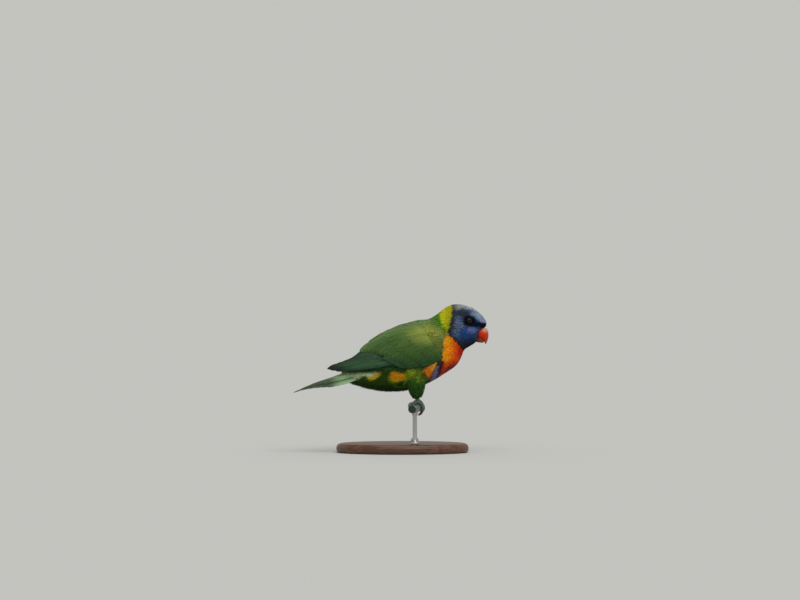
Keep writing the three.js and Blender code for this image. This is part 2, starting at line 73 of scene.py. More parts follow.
def to_bird(points):
    """Places in the scene, as millimetres from the grip."""
    return (np.asarray(points, float) - np.array(GRIP)) / MM


def to_scene(points):
    """Millimetres from the grip, as places in the scene."""
    return np.asarray(points, float) * MM + np.array(GRIP)


# %% [markdown]
# ## The camera
# The photograph was taken from far away with a long lens, level with the bird, so its lines hardly
# converge. One pixel of its 800 is 1.27 mm at the bird. The middle of the picture is 23 mm behind
# the grip and 137 mm above it, and a level camera that looks along +Y keeps that framing.

# %% Camera
PIXEL = 1.27 * MM
PICTURE_WIDTH = 800
VIEW_MIDDLE = spot(-23.1, 0, 136.6)
CAMERA_DISTANCE = 3.5
SENSOR = 36.0

bpy.ops.object.select_all(action="DESELECT")
bpy.ops.object.camera_add(
    location=(VIEW_MIDDLE.x, VIEW_MIDDLE.y - CAMERA_DISTANCE, VIEW_MIDDLE.z),
    rotation=(math.radians(90), 0, 0),
)
camera = bpy.context.object
camera.name = "camera"
camera.data.sensor_width = SENSOR
camera.data.lens = SENSOR * CAMERA_DISTANCE / (PIXEL * PICTURE_WIDTH)
bpy.context.scene.camera = camera
print("lens", round(camera.data.lens, 1), "mm")

# %% [markdown]
# ## Colours and nodes
# Colours are written as the hex values that a paint program shows, which are sRGB. Blender works in
# linear light, so one function turns them. Another adds a node with its settings and links.

# %% Colour and node helpers


def linear(hex_colour):
    """An sRGB hex colour as linear red, green and blue."""
    parts = [int(hex_colour[i:i + 2], 16) / 255 for i in (1, 3, 5)]
    return np.array([p / 12.92 if p <= 0.04045 else ((p + 0.055) / 1.055) ** 2.4 for p in parts])


def rgba(hex_colour):
    return (*linear(hex_colour), 1.0)


def feed(node, inputs):
    """Gives a node's inputs their values. A value may be the output of another node."""
    for name, value in inputs.items():
        if isinstance(value, bpy.types.NodeSocket):
            node.id_data.links.new(value, node.inputs[name])
        else:
            node.inputs[name].default_value = value


def add(tree, kind, inputs=None, give=0, **settings):
    """Adds a shader node and feeds it. Returns its first output, or the one that give names."""
    made = tree.nodes.new("ShaderNode" + kind)
    for key, value in settings.items():
        setattr(made, key, value)
    feed(made, inputs or {})
    return made.outputs[give]


def object_places(tree, stretch=(1, 1, 1)):
    """The object's own coordinates, for a pattern to follow, squeezed along each axis."""
    own = add(tree, "TexCoord", give="Object")
    return add(tree, "Mapping", {"Vector": own, "Scale": stretch})


def new_material(name, **sockets):
    """A material with one Principled shader. Returns it with its tree and that shader."""
    material = bpy.data.materials.new(name)
    material.use_nodes = True
    tree = material.node_tree
    shader = tree.nodes["Principled BSDF"]
    feed(shader, {socket.replace("_", " "): value for socket, value in sockets.items()})
    return material, tree, shader


print("mid grey #808080 is", round(float(linear("#808080")[0]), 3), "in linear light")


# %% [markdown]
# ## Floor and light
# The bird stands in for a museum model, so it gets a plain pale floor and soft light. One very
# large, soft lamp above gives the pale sheen on crown and back that the photograph shows. The
# background has exactly the brightness that the floor reaches under that lamp, so no horizon shows.
# With albedo a, background b and lamp l, the floor shines with a (b + l), which equals b.

# %% Floor, lamp and background
FLOOR_SIZE = 80.0
FLOOR_GREY = "#c2c2c0"
FLOOR_MOTTLE = ("#c0c0be", "#c4c4c2")
LAMP = {"from": Vector((0.2, -0.55, 1.0)), "strength": 1.7, "angle": 55}

bpy.ops.object.select_all(action="DESELECT")
bpy.ops.mesh.primitive_plane_add(size=FLOOR_SIZE, location=(0, 0, 0))
floor = bpy.context.object
floor.name = "floor"

# Matt paint gives no highlight, only an even pale grey that is faintly uneven.
floor_paint, tree, shader = new_material("matt floor paint", Roughness=1.0, Specular_IOR_Level=0.0)
mottle = add(tree, "TexNoise", {
    "Vector": add(tree, "TexCoord", give="Object"), "Scale": 300.0, "Detail": 2.0,
})
dark, pale = (rgba(value) for value in FLOOR_MOTTLE)
feed(shader, {"Base Color": add(tree, "Mix", {
    "Factor": mottle, "A": dark, "B": pale,
}, "Result", data_type="RGBA")})
floor.data.materials.append(floor_paint)

bpy.ops.object.light_add(type="SUN", location=LAMP["from"])
lamp = bpy.context.object
lamp.name = "soft_overhead_lamp"
lamp.data.energy = LAMP["strength"]
lamp.data.angle = math.radians(LAMP["angle"])
lamp.rotation_euler = (-LAMP["from"]).to_track_quat("-Z", "Y").to_euler()

albedo = linear(FLOOR_GREY)
lamp_share = LAMP["strength"] * LAMP["from"].normalized().z / math.pi
backdrop = albedo * lamp_share / (1 - albedo)
world = bpy.data.worlds.new("studio")
bpy.context.scene.world = world
world.use_nodes = True
world.node_tree.nodes["Background"].inputs["Color"].default_value = (*backdrop, 1.0)
bpy.context.scene.view_settings.view_transform = "Standard"
print("backdrop brightness", [round(value, 3) for value in backdrop])

# %% [markdown]
# ## Working on one object at a time
# Blender's operators act on whatever is selected, so each step selects its object alone first. A
# copy of a solid gets a mesh of its own, and its loose triangles are merged before anything else.

# %% Object helpers


def only(*objects):
    """Selects these objects and nothing else."""
    bpy.ops.object.select_all(action="DESELECT")
    for obj in objects:
        obj.select_set(True)
    bpy.context.view_layer.objects.active = objects[0]


def modify(obj, kind, **settings):
    """Adds a modifier to an object and applies it."""
    modifier = obj.modifiers.new(kind.lower(), kind)
    for key, value in settings.items():
        setattr(modifier, key, value)
    only(obj)
    bpy.ops.object.modifier_apply(modifier=modifier.name)


def copy_of(name, *nodes):
    """One new object with the merged meshes of some solids."""
    copies = []
    for node in nodes:
        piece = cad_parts[node].copy()
        piece.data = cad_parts[node].data.copy()
        piece.parent = None
        piece.hide_viewport = piece.hide_render = False
        for key in list(piece.keys()):
            del piece[key]
        piece.data.materials.clear()
        bpy.context.scene.collection.objects.link(piece)
        copies.append(piece)
    only(*copies)
    if len(copies) > 1:
        bpy.ops.object.join()
    joined = bpy.context.view_layer.objects.active
    joined.name = name
    bpy.ops.object.mode_set(mode="EDIT")
    bpy.ops.mesh.select_all(action="SELECT")
    bpy.ops.mesh.remove_doubles(threshold=0.01 * MM)
    bpy.ops.object.mode_set(mode="OBJECT")
    return joined


def vertices_of(obj):
    """An object's vertices in millimetres from the grip, and their normals."""
    count = len(obj.data.vertices)
    places, normals = np.zeros(count * 3), np.zeros(count * 3)
    obj.data.vertices.foreach_get("co", places)
    obj.data.vertices.foreach_get("normal", normals)
    return to_bird(places.reshape(-1, 3)), normals.reshape(-1, 3)


def move_vertices(obj, places):
    obj.data.vertices.foreach_set("co", to_scene(places).ravel())
    obj.data.update()


def swell(obj, distance):
    """Moves every vertex outwards along its normal, in millimetres."""
    places, normals = vertices_of(obj)
    move_vertices(obj, places + normals * distance)


def smooth_shade(obj):
    obj.data.polygons.foreach_set("use_smooth", [True] * len(obj.data.polygons))


def finish_piece(obj, material, slot, *replaced):
    """Gives a piece its finish, attaches it to the body and hides the solids that it stands for."""
    obj.data.materials.clear()
    obj.data.materials.append(material)
    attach(obj, BODY)
    if replaced:
        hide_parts(*replaced)
    print(obj.name, "has", len(obj.data.polygons), "faces")


# %% [markdown]
# ## Forms sewn from rings
# A feather, or a pad of muscle, is a closed form that changes along its length. It is written as a
# row of rings of corners, which are sewn together with quads and closed at both ends. Many forms
# with the same number of rings go into one mesh, and if the first comes out inside out, all are
# turned.

# %% Meshes from rings


def ring_mesh(name, points):
    """Closed forms, each a row of rings, from an array of shape (count, rows, corners, 3)."""
    count, rows, corners = points.shape[:3]
    quads, ends = sewn_faces(count, rows, corners)
    if turned_in(points):
        quads, ends = quads[:, ::-1], ends[:, ::-1]
    mesh = bpy.data.meshes.new(name)
    mesh.vertices.add(count * rows * corners)
    mesh.vertices.foreach_set("co", to_scene(points.reshape(-1, 3)).ravel())
    loops = np.concatenate([quads.ravel(), ends.ravel()])
    sizes = np.concatenate([np.full(len(quads), 4), np.full(len(ends), corners)])
    mesh.loops.add(len(loops))
    mesh.loops.foreach_set("vertex_index", loops)
    mesh.polygons.add(len(sizes))
    mesh.polygons.foreach_set("loop_start", np.concatenate([[0], np.cumsum(sizes)[:-1]]))
    mesh.polygons.foreach_set("use_smooth", np.ones(len(sizes), bool))
    mesh.update()
    obj = bpy.data.objects.new(name, mesh)
    bpy.context.scene.collection.objects.link(obj)
    return obj, loops


def sewn_faces(count, rows, corners):
    """Corner numbers of all faces: the quads between rings, then the ends of each form."""
    ring = np.arange(corners)
    ahead = (ring + 1) % corners
    one = np.concatenate([
        np.stack([r * corners + ring, r * corners + ahead, (r + 1) * corners + ahead,
                  (r + 1) * corners + ring], 1)
        for r in range(rows - 1)
    ])
    starts = np.arange(count) * rows * corners
    quads = (one[None] + starts[:, None, None]).reshape(-1, 4)
    ends = np.stack([ring[::-1], ring + (rows - 1) * corners])
    return quads, (ends[None] + starts[:, None, None]).reshape(-1, corners)


def turned_in(points):
    """True if the first form's faces point inwards, which makes its volume negative."""
    rows, corners = points.shape[1:3]
    flat = points[0].reshape(-1, 3)
    flat = flat - flat.mean(0)
    total = 0.0
    for faces in sewn_faces(1, rows, corners):
        for k in range(1, faces.shape[1] - 1):
            a, b, c = (flat[faces[:, i]] for i in (0, k, k + 1))
            total += (a * np.cross(b, c)).sum()
    return total < 0


print("a form of 3 rings with 4 corners has", len(sewn_faces(1, 3, 4)[0]), "quads and 2 ends")


# %% [markdown]
# ## The face of the folded wing
# A folded wing is a shallow shell against the body's side, and the two wings close over the back
# like a roof. Each row below gives, at one place along the bird, the height of the shell's fullest
# line, how far out it stands there, and how far above and below that line it curves in. All wing
# feathers are laid on this shell.

# %% Wing shell
WING_FACE = [
    {"x": 38, "ridge": 84, "half": 25.6, "up": 28.0, "down": 36},
    {"x": 24, "ridge": 82, "half": 31.0, "up": 31.0, "down": 42},
    {"x": 0, "ridge": 77, "half": 33.6, "up": 34.5, "down": 44},
    {"x": -25, "ridge": 70, "half": 33.6, "up": 35.0, "down": 41},
    {"x": -50, "ridge": 62, "half": 30.0, "up": 31.5, "down": 32},
    {"x": -75, "ridge": 55, "half": 23.0, "up": 21.5, "down": 22},
    {"x": -96, "ridge": 51, "half": 16.0, "up": 14.0, "down": 17},
    {"x": -118, "ridge": 48, "half": 10.0, "up": 12.0, "down": 14},
]
SHELL_END = 0.985


def row_values(rows, x, *keys):
    """Values from a table of rows, at some places along the bird."""
    stations = [row["x"] for row in rows][::-1]
    return [np.interp(x, stations, [row[key] for row in rows][::-1]) for key in keys]


def wing_shell(x, z):
    """How far the wing's face is from the middle of the bird, at places in profile."""
    ridge, half, above, below = row_values(WING_FACE, x, "ridge", "half", "up", "down")
    off = z - ridge
    share = np.minimum(np.abs(off) / np.where(off > 0, above, below), SHELL_END)
    return half * np.sqrt(1 - share ** 2)


def ramp(value, low, high):
    """Rises smoothly from 0 at low to 1 at high. It falls where low is above high."""
    share = np.clip((value - low) / (high - low), 0, 1)
    return share * share * (3 - 2 * share)


print("wing shell at the shoulder", round(float(wing_shell(24, 82)), 1), "mm from the middle")

# %% [markdown]
# ## The pads under the wing feathers
# Muscle and small coverts pad the wing between its front edge and the long feathers, and the back
# fills the space under the roof that the wings make. Both pads are built as rows of rings in the
# space between the shell and the body. They join the skin, so that feathers run over shoulder and
# back without a break.

# %% Wing arms and back
WING_ARM = [
    {"x": 36, "top": 86.0, "bottom": 78.5}, {"x": 34.5, "top": 90.0, "bottom": 73.0},
    {"x": 31, "top": 94.0, "bottom": 66.5}, {"x": 26, "top": 97.0, "bottom": 61.5},
    {"x": 18, "top": 100.0, "bottom": 57.0}, {"x": 6, "top": 102.5, "bottom": 53.8},
    {"x": -14, "top": 101.0, "bottom": 51.6}, {"x": -34, "top": 93.5, "bottom": 50.6},
    {"x": -50, "top": 84.5, "bottom": 51.0}, {"x": -62, "top": 74.0, "bottom": 52.5},
]
ARM_INSET = ([-62, -20, 10, 36], [2.6, 1.2, -0.4, -1.0])  # how far under the shell, along x
ARM_RIM = 2.8  # how far the pad curves in at its upper and lower rim
ARM_DEPTH = 8  # how thick the pad is
ARM_THINNEST = 2
BACK_ENDS = (24, -64)
BACK_PAD = ([-64, -58, -30, 12, 24], [0.55, 0.8, 1.0, 1.0, 0.8])  # share of the full width, along x
BACK_LIFT = 1.5
BACK_INSET = 0.5
BACK_RIDGE = 1.0  # half the width of the pad's flat ridge
PAD_LEVELS = np.sin(np.linspace(0.1, np.pi / 2, 14)) * 0.975


def closed_section(outer, inner):
    """Rings of one form, from the line of corners on each of its two faces."""
    return np.concatenate([outer, inner[:, ::-1]], 1)[None]


def arm_rings(mirror):
    stations = np.linspace(WING_ARM[0]["x"], WING_ARM[-1]["x"], 40)
    top, bottom = row_values(WING_ARM, stations, "top", "bottom")
    share = np.linspace(0, 1, 16)
    z = bottom[:, None] + (top - bottom)[:, None] * share
    x = stations[:, None] * np.ones_like(z)
    outer = wing_shell(x, z) - np.interp(x, *ARM_INSET) - ARM_RIM * np.abs(2 * share - 1) ** 5
    middle = (top + bottom)[:, None] / 2
    inner_z = middle + (z - middle) * 0.9
    inner = np.minimum(wing_shell(x, inner_z) - ARM_DEPTH, outer - ARM_THINNEST)
    front = np.stack([x, mirror * outer, z], -1)
    return closed_section(front, np.stack([x, mirror * inner, inner_z], -1))


def back_rings():
    stations = np.linspace(*BACK_ENDS, 45)
    ridge, up = row_values(WING_FACE, stations, "ridge", "up")
    width = np.interp(stations, *BACK_PAD)[:, None]
    z = ridge[:, None] + up[:, None] * PAD_LEVELS
    x = stations[:, None] * np.ones_like(z)
    y = np.maximum(wing_shell(x, z) * width - BACK_INSET, BACK_RIDGE)
    raised = z + BACK_LIFT * ramp(PAD_LEVELS, 0.5, 0.9)
    return closed_section(np.stack([x, y, raised], -1), np.stack([x, -y, raised], -1))


pads = [ring_mesh(f"arm_{mirror}", arm_rings(mirror))[0] for mirror in (1, -1)]
pads.append(ring_mesh("back", back_rings())[0])
print("pads:", [(pad.name, len(pad.data.vertices)) for pad in pads])

# %% [markdown]
# ## The skin
# Under its feathers a bird is one smooth, unbroken form. The solids of the head, neck, trunk and
# thighs are copied, swollen a little so that they overlap, joined with the pads and remeshed into
# one closed surface. That surface is smoothed and drawn in by the depth of the coat.

# %% Skin
SKIN_VOXEL = 1.1
OVERLAP = 0.3
COAT_DEPTH = 1.6
FEATHERED = ("head", "neck", "torso", "leg_left", "leg_right")

skin = copy_of("skin", *FEATHERED)
swell(skin, OVERLAP)
only(skin, *pads)
bpy.ops.object.join()
modify(skin, "REMESH", mode="VOXEL", voxel_size=SKIN_VOXEL * MM)
modify(skin, "SMOOTH", factor=0.6, iterations=9)
swell(skin, -OVERLAP - COAT_DEPTH)
smooth_shade(skin)
print("skin:", len(skin.data.polygons), "faces")

# %% [markdown]
# The export paints each feather from a small patch of one shared map, at the place where the
# feather is rooted. So the skin is unwrapped here, and its map carries the name that the export
# looks for.

# %% Unwrap the skin
PATCH_MAP = "OFBake"


def unwrap(obj):
    while obj.data.uv_layers:
        obj.data.uv_layers.remove(obj.data.uv_layers[0])
    obj.data.uv_layers.new(name=PATCH_MAP)
    only(obj)
    bpy.ops.object.mode_set(mode="EDIT")
    bpy.ops.mesh.select_all(action="SELECT")
    bpy.ops.uv.smart_project(angle_limit=math.radians(66), island_margin=0.004)
    bpy.ops.object.mode_set(mode="OBJECT")


unwrap(skin)
print("the skin's map is called", skin.data.uv_layers[0].name)

# %% [markdown]
# ## Finding the skin under a point
# Each feather's shaft is laid over the skin in short steps, and every step is drawn back onto the
# surface. A search tree finds the nearest face, whose mean normal tells which way is out.

# %% Search tree of a surface


def surface_of(obj):
    """What the feathers need to know of a surface, in millimetres from the grip."""
    places, normals = vertices_of(obj)
    faces = [tuple(polygon.vertices) for polygon in obj.data.polygons]
    up = np.array([normals[list(face)].mean(0) for face in faces])
    loops = np.zeros(len(obj.data.loops) * 2)
    obj.data.uv_layers[PATCH_MAP].data.foreach_get("uv", loops)
    starts = np.array([polygon.loop_start for polygon in obj.data.polygons])
    areas = np.array([polygon.area for polygon in obj.data.polygons]) / MM ** 2
    return {
        "tree": BVHTree.FromPolygons(places.tolist(), faces),
        "centre": np.array([places[list(face)].mean(0) for face in faces]),
        "up": unit(up),
        "map": loops.reshape(-1, 2)[starts],
        "area": areas,
    }


def settle(surface, points):
    """The nearest places on a surface, and the faces that they are on."""
    found = [surface["tree"].find_nearest(point) for point in points.tolist()]
    return np.array([hit[0][:] for hit in found]), np.array([hit[2] for hit in found])


def unit(vectors):
    return vectors / np.maximum(np.linalg.norm(vectors, axis=-1, keepdims=True), 1e-9)


def flat_on(vectors, up):
    """The part of some directions that lies in the surface."""
    return unit(vectors - (vectors * up).sum(-1, keepdims=True) * up)


body = surface_of(skin)
print("skin area", round(body["area"].sum() / 100), "square centimetres")

# %% [markdown]
# ## Which way the feathers lie
# Feathers point away from the bill, along the body to the tail, and down the thighs. A line through
# the middle of the bird gives that heading, and each root takes the direction of the line beside it.

# %% Flow of the coat
BODY_LINE = [
    (90, 98), (66, 103), (50, 99), (37, 88), (17, 76), (-17, 62), (-53, 49), (-90, 38), (-125, 28),
]
THIGH = {"x": -2.5, "y": 14.8, "top": 44, "bottom": 8, "long": 16, "wide": 11}


def line_headings():
    """Points along the middle of the bird, with the heading at each."""
    line = np.array(BODY_LINE, float)
    ticks = np.linspace(0, len(line) - 1, 80)
    x, z = (np.interp(ticks, range(len(line)), line[:, k]) for k in (0, 1))
    smooth = np.ones(9) / 9
    dx, dz = (np.convolve(np.gradient(value), smooth, mode="same") for value in (x, z))
    return np.stack([x, z], 1), unit(np.stack([dx, 0 * dx, dz], 1))


LINE_POINTS, LINE_HEADINGS = line_headings()
print("the line runs from", LINE_POINTS[0], "to", LINE_POINTS[-1])


def on_thigh(points):
    """How far each point belongs to a thigh, from 0 to 1."""
    forward = (points[:, 0] - THIGH["x"]) / THIGH["long"]
    sideways = (np.abs(points[:, 1]) - THIGH["y"]) / THIGH["wide"]
    below_top = ramp(points[:, 2], THIGH["top"], THIGH["top"] - 12)
    return below_top * ramp(np.hypot(forward, sideways), 1.15, 0.85)


def flow(points, up):
    """The way the coat lies at some points."""
    gaps = ((points[:, None, [0, 2]] - LINE_POINTS[None]) ** 2).sum(-1)
    heading = LINE_HEADINGS[gaps.argmin(1)].copy()
    leg = on_thigh(points)[:, None]
    down = np.array([-0.3, 0.0, -1.0])
    return flat_on(heading * (1 - leg) + down * leg, up)


# %% [markdown]
# ## Random, but the same each time
# Real plumage is never quite even. Smooth noise varies the colours over the body, and it is worked
# out from the place alone, so that every run of this script gives the same bird.

# %% Noise


def noise(points, size, seed=0):
    """Smooth values from 0 to 1 with lumps of a given size in millimetres."""
    cells = np.asarray(points, float) / size + seed * 17.31
    corner = np.floor(cells).astype(np.int64)
    part = cells - corner
    part = part * part * (3 - 2 * part)
    total = np.zeros(len(cells))
    for step in np.ndindex(2, 2, 2):
        near = corner + np.array(step)
        key = near[:, 0] * 73856093 ^ near[:, 1] * 19349663 ^ near[:, 2] * 83492791 ^ seed * 2654435
        key = (key ^ (key >> 13)) * 1274126177
        value = ((key ^ (key >> 16)) & 0xFFFF) / 0xFFFF
        total += value * np.prod(np.where(step, part, 1 - part), axis=1)
    return total


print("noise at the grip", round(float(noise([[0, 0, 0]], 5)[0]), 3))


# %% [markdown]
# ## The markings
# A rainbow lorikeet has a violet-blue hood, a lime collar, a green back, a breast that runs from
# yellow through orange to red, and a dark belly between yellow and orange flanks. Each is written
# as a region in profile with a soft, uneven edge, and both skin and feathers read the same rule.

# %% Palette
PAINT = {name: linear(value) for name, value in {
    "hood": "#365080", "hood_violet": "#7a82c2", "hood_night": "#02142a", "hood_deep": "#0a4590",
    "hood_sky": "#8fb4d4", "hood_pale": "#a3b2cc", "hood_shade": "#0c2234", "crown": "#bcc6cc",
    "crown_brown": "#968c80", "lilac": "#a8b0de", "bib": "#04203c", "hood_black": "#0b0c08",
    "nape_brown": "#2a231a", "lime": "#bcb80c", "lime_edge": "#8fa40c", "stripe": "#477812",
    "mantle": "#828c36", "shoulder": "#697536", "green": "#405e22", "deep_green": "#2b5026",
    "back_painted_sheen": "#6f8a52", "breast_yellow": "#f8a00c", "breast_orange": "#f06404",
    "breast_red": "#d42a0a", "bar": "#2a1216", "corner": "#e8a52c", "violet": "#6a6c92",
    "violet_dark": "#181426", "orange_spot": "#dc781a", "belly": "#100d17", "belly_green": "#213c0c",
    "fluff": "#98a81c", "flank_yellow": "#dcbc20", "flank_orange": "#e6980a",
    "flank_green": "#33510e", "sage": "#bcd49c", "sage_painted_light": "#e8f6ca", "thigh_top_and_painted_light": "#8eaa32",
    "thigh": "#2d5817",
    "thigh_low": "#2a4a16",
}.items()}
print(len(PAINT), "colours in the palette")

# %% [markdown]
# The edges between the colours are lines in profile, read off the photograph. Three small tools
# paint with them: one blends a colour in, one marks an oval patch and one a straight stroke.

# %% Edges, patches and strokes
TOP_LINE = ([-98, -73, -61, -47, -33, -15, 15, 28, 43, 54, 66, 76, 82, 88],
            [44, 74.5, 84, 93, 101, 107.5, 112.5, 124, 131, 131.8, 129, 122.5, 113, 104])
HOOD_BACK = ([70, 73.4, 84, 90, 94, 98, 103, 115, 130],
             [60, 56.8, 46.2, 40.2, 37, 37.8, 39.6, 42.1, 43.2])
COLLAR_BACK = ([99, 105, 115, 126, 131], [36, 31.3, 28.8, 28.2, 28])
STRIPE_BACK = ([93.8, 103, 112.6, 118], [35.9, 27.4, 17.1, 12])
WING_FRONT = ([50, 55, 58, 61, 66, 78, 89, 94], [8, 16.5, 20, 28, 31.2, 33, 34, 34.5])
CHEST_FRONT = ([29, 40.6, 46, 53, 64, 74], [16, 29.4, 38.3, 49, 54.4, 57])
SAGE_BELOW = ([-118, -87, -60], [27.7, 35, 41.4])


def blend(base, paint, share):
    return base + (PAINT[paint] - base) * share[:, None]


def patch(x, z, middle, reach, soft=0.5):
    """An oval region in profile: 1 inside it, falling to 0 over its soft edge."""
    off = np.hypot((x - middle[0]) / reach[0], (z - middle[1]) / reach[1])
    return ramp(off, 1.0 + soft / 2, 1.0 - soft / 2)


def stroke(x, z, start, end, thick):
    """A straight band in profile."""
    run = np.array([end[0] - start[0], end[1] - start[1]])
    along = np.clip(((x - start[0]) * run[0] + (z - start[1]) * run[1]) / (run @ run), 0, 1)
    gap = np.hypot(x - start[0] - along * run[0], z - start[1] - along * run[1])
    return ramp(gap, thick * 1.3, thick * 0.7)


def below_top_line(x, z):
    """How far a place in profile is below the outline of crown and back."""
    return np.interp(x, *TOP_LINE) - z


print("the crown is", below_top_line(60, 0), "mm above the grip")

# %% [markdown]
# The hood is blue, streaked on the cheek and violet under it, with a crown paled by painted sheen,
# which browns towards the nape. A nearly black patch holds the eye and runs on to the bill, and the
# throat is the darkest.

# %% Colours of the hood


def hood_colour(points):
    x, z = points[:, 0], points[:, 2]
    from_top = below_top_line(x, z)
    base = np.tile(PAINT["hood"], (len(points), 1))
    base = blend(base, "hood_shade", patch(x, z, (56, 119.5), (10, 6.5), 0.8) * 0.9)
    streaks = 0.5 + 0.5 * np.sin(2 * np.pi * (z + 0.35 * x + 2.2 * noise(points, 7, 3)) / 3.1)
    cheek = patch(x, z, (50, 103), (8, 12), 0.7)
    base = blend(base, "hood_shade", cheek * (1 - streaks) * ramp(z, 112, 98) * 0.8)
    base = blend(base, "hood_pale", cheek * streaks * 0.38)
    base = blend(base, "hood_sky", patch(x, z, (74, 116.5), (7, 5), 0.9) * 0.85)
    base = blend(base, "hood_deep", patch(x, z, (61, 94), (9, 8), 0.7) * 0.95)
    base = blend(base, "hood_violet", patch(x, z, (68, 98.5), (6, 3.4), 1.3) * 0.8)
    # Painted sheen: the crown is paled within a few millimetres of the top outline, broken up by
    # noise.
    broken = 0.3 + 0.7 * ramp(noise(points, 3.2, 5), 0.3, 0.5)
    base = blend(base, "crown", ramp(from_top, 8 + 3 * ramp(x, 62, 74), 2) * broken)
    base = blend(base, "crown_brown", patch(x, z, (48.5, 129), (6.5, 5), 0.8) * 0.85)
    base = blend(base, "lilac", patch(x, z, (81.5, 111), (4.5, 4.5), 0.7) * 0.95)
    base = blend(base, "hood_night", patch(x, z, (63.8, 110.3), (9.2, 6.5), 0.5))
    base = blend(base, "hood_night", stroke(x, z, (66, 106.5), (86, 104.6), 3.2))
    base = blend(base, "bib", ramp(z, 93, 84) * 0.9)
    base = blend(base, "hood_black", ramp(z, 84, 78) * 0.7)
    from_edge = x - np.interp(z, *HOOD_BACK)
    base = blend(base, "hood_black", ramp(from_edge, 7, 2) * ramp(z, 104, 97) * 0.9)
    return blend(base, "nape_brown", ramp(from_edge, 8, 3.5) * ramp(z, 95, 101) * 0.9)


# %% [markdown]
# The breast runs from yellow beside the wing to red in front. Low on it come ragged dark bars, a
# yellow corner at the wing, and a dark violet stroke that parts it from the belly.

# %% Colours of the breast


def breast_colour(points):
    x, _, z = points.T
    wing_edge = np.interp(z, *WING_FRONT)
    chest = np.interp(z, *CHEST_FRONT)
    front = np.clip((x - wing_edge) / np.maximum(chest - wing_edge, 4), 0, 1)
    front = np.clip(front + 0.25 * (noise(points, 5, 7) - 0.5), 0, 1)
    base = np.tile(PAINT["breast_yellow"], (len(points), 1))
    base = blend(base, "breast_orange", ramp(front, 0.2, 0.55))
    base = blend(base, "breast_red", ramp(front, 0.55, 0.88))
    base = blend(base, "breast_red", ramp(z, 62, 50) * 0.4)
    ragged = ramp(noise(points * np.array([1.8, 1, 0.5]), 3.6, 8), 0.5, 0.62)
    base = blend(base, "bar", ramp(z, 62, 52) * ramp(x, 26, 34) * ragged * 0.85)
    base = blend(base, "corner", patch(x, z, (21, 54), (4.5, 6)) * 0.9)
    base = blend(base, "violet_dark", stroke(x, z, (29, 58), (18, 31), 5.0) * 0.95)
    return blend(base, "violet", stroke(x, z, (24.5, 52), (19, 33), 2.6))


# %% [markdown]
# The belly is dark in the middle and green to its sides. Orange and yellow patches show along the
# flank under the wing, and behind the legs it pales to sage under the tail, with painted light making
# the sage paler still just under the wing, against the wing's shadow.

# %% Colours of the belly


def belly_colour(points):
    x, y, z = points.T
    base = np.tile(PAINT["belly"], (len(points), 1))
    side = ramp(np.abs(y), 6, 15)
    base = blend(base, "belly_green", ramp(z + 8 * noise(points, 6, 14), 22, 32) * 0.95)
    ragged = 3 * (noise(points, 3.5, 9) - 0.5)
    base = blend(base, "flank_green", side * ramp(z + ragged, 28, 36) * ramp(x, 8, -10))
    streaks = ramp(noise(points * np.array([0.35, 1, 1.3]), 2.6, 16), 0.35, 0.6)
    base = blend(base, "fluff", patch(x, z + ragged, (-20, 37), (15, 8), 0.8) * streaks * side * 0.75)
    base = blend(base, "flank_yellow", patch(x, z + ragged, (-26, 40), (10, 5.5), 0.8) * side * 0.75)
    base = blend(base, "flank_orange", patch(x, z + ragged, (-26, 42), (9, 3.6), 0.7) * side)
    yellow = patch(x, z + ragged - 0.2 * (x + 55), (-55, 41), (8.5, 2.8), 0.7)
    base = blend(base, "flank_yellow", yellow * side)
    base = blend(base, "fluff", patch(x, z + ragged, (-8.5, 45.5), (4.5, 6), 1.0) * side * 0.9)
    vent = ramp(x, -50, -63) * ramp(z - np.interp(x, *SAGE_BELOW) + ragged, -1.5, 1.0)
    base = blend(base, "sage", vent)
    # Just under the wing the sage is paled further as painted light against the wing's shadow.
    return blend(base, "sage_painted_light", vent * ramp(z, 40, 43.5))


# %% [markdown]
# Back, mantle and wings are one green, olive above and deeper and bluer below, with a painted sheen
# that pales it along the top outline. The last function lays all regions over that green, with their
# edges shaken by noise so that they are as uneven as feathers make them.

# %% Green, and all the regions together


def green_colour(points):
    x, z = points[:, 0], points[:, 2]
    base = np.tile(PAINT["green"], (len(points), 1))
    base = blend(base, "deep_green", ramp(z - 0.12 * x, 76, 56))
    base = blend(base, "mantle", patch(x, z, (13, 94), (25, 12), 1.1) * 0.9)
    base = blend(base, "shoulder", patch(x, z, (29, 82), (8, 11), 0.8) * 0.7)
    # Painted sheen: the green is paled within a few millimetres of the top outline.
    base = blend(base, "back_painted_sheen", ramp(below_top_line(x, z), 11, 2) * 0.6)
    return base * (0.88 + 0.24 * noise(points, 6, 21))[:, None]


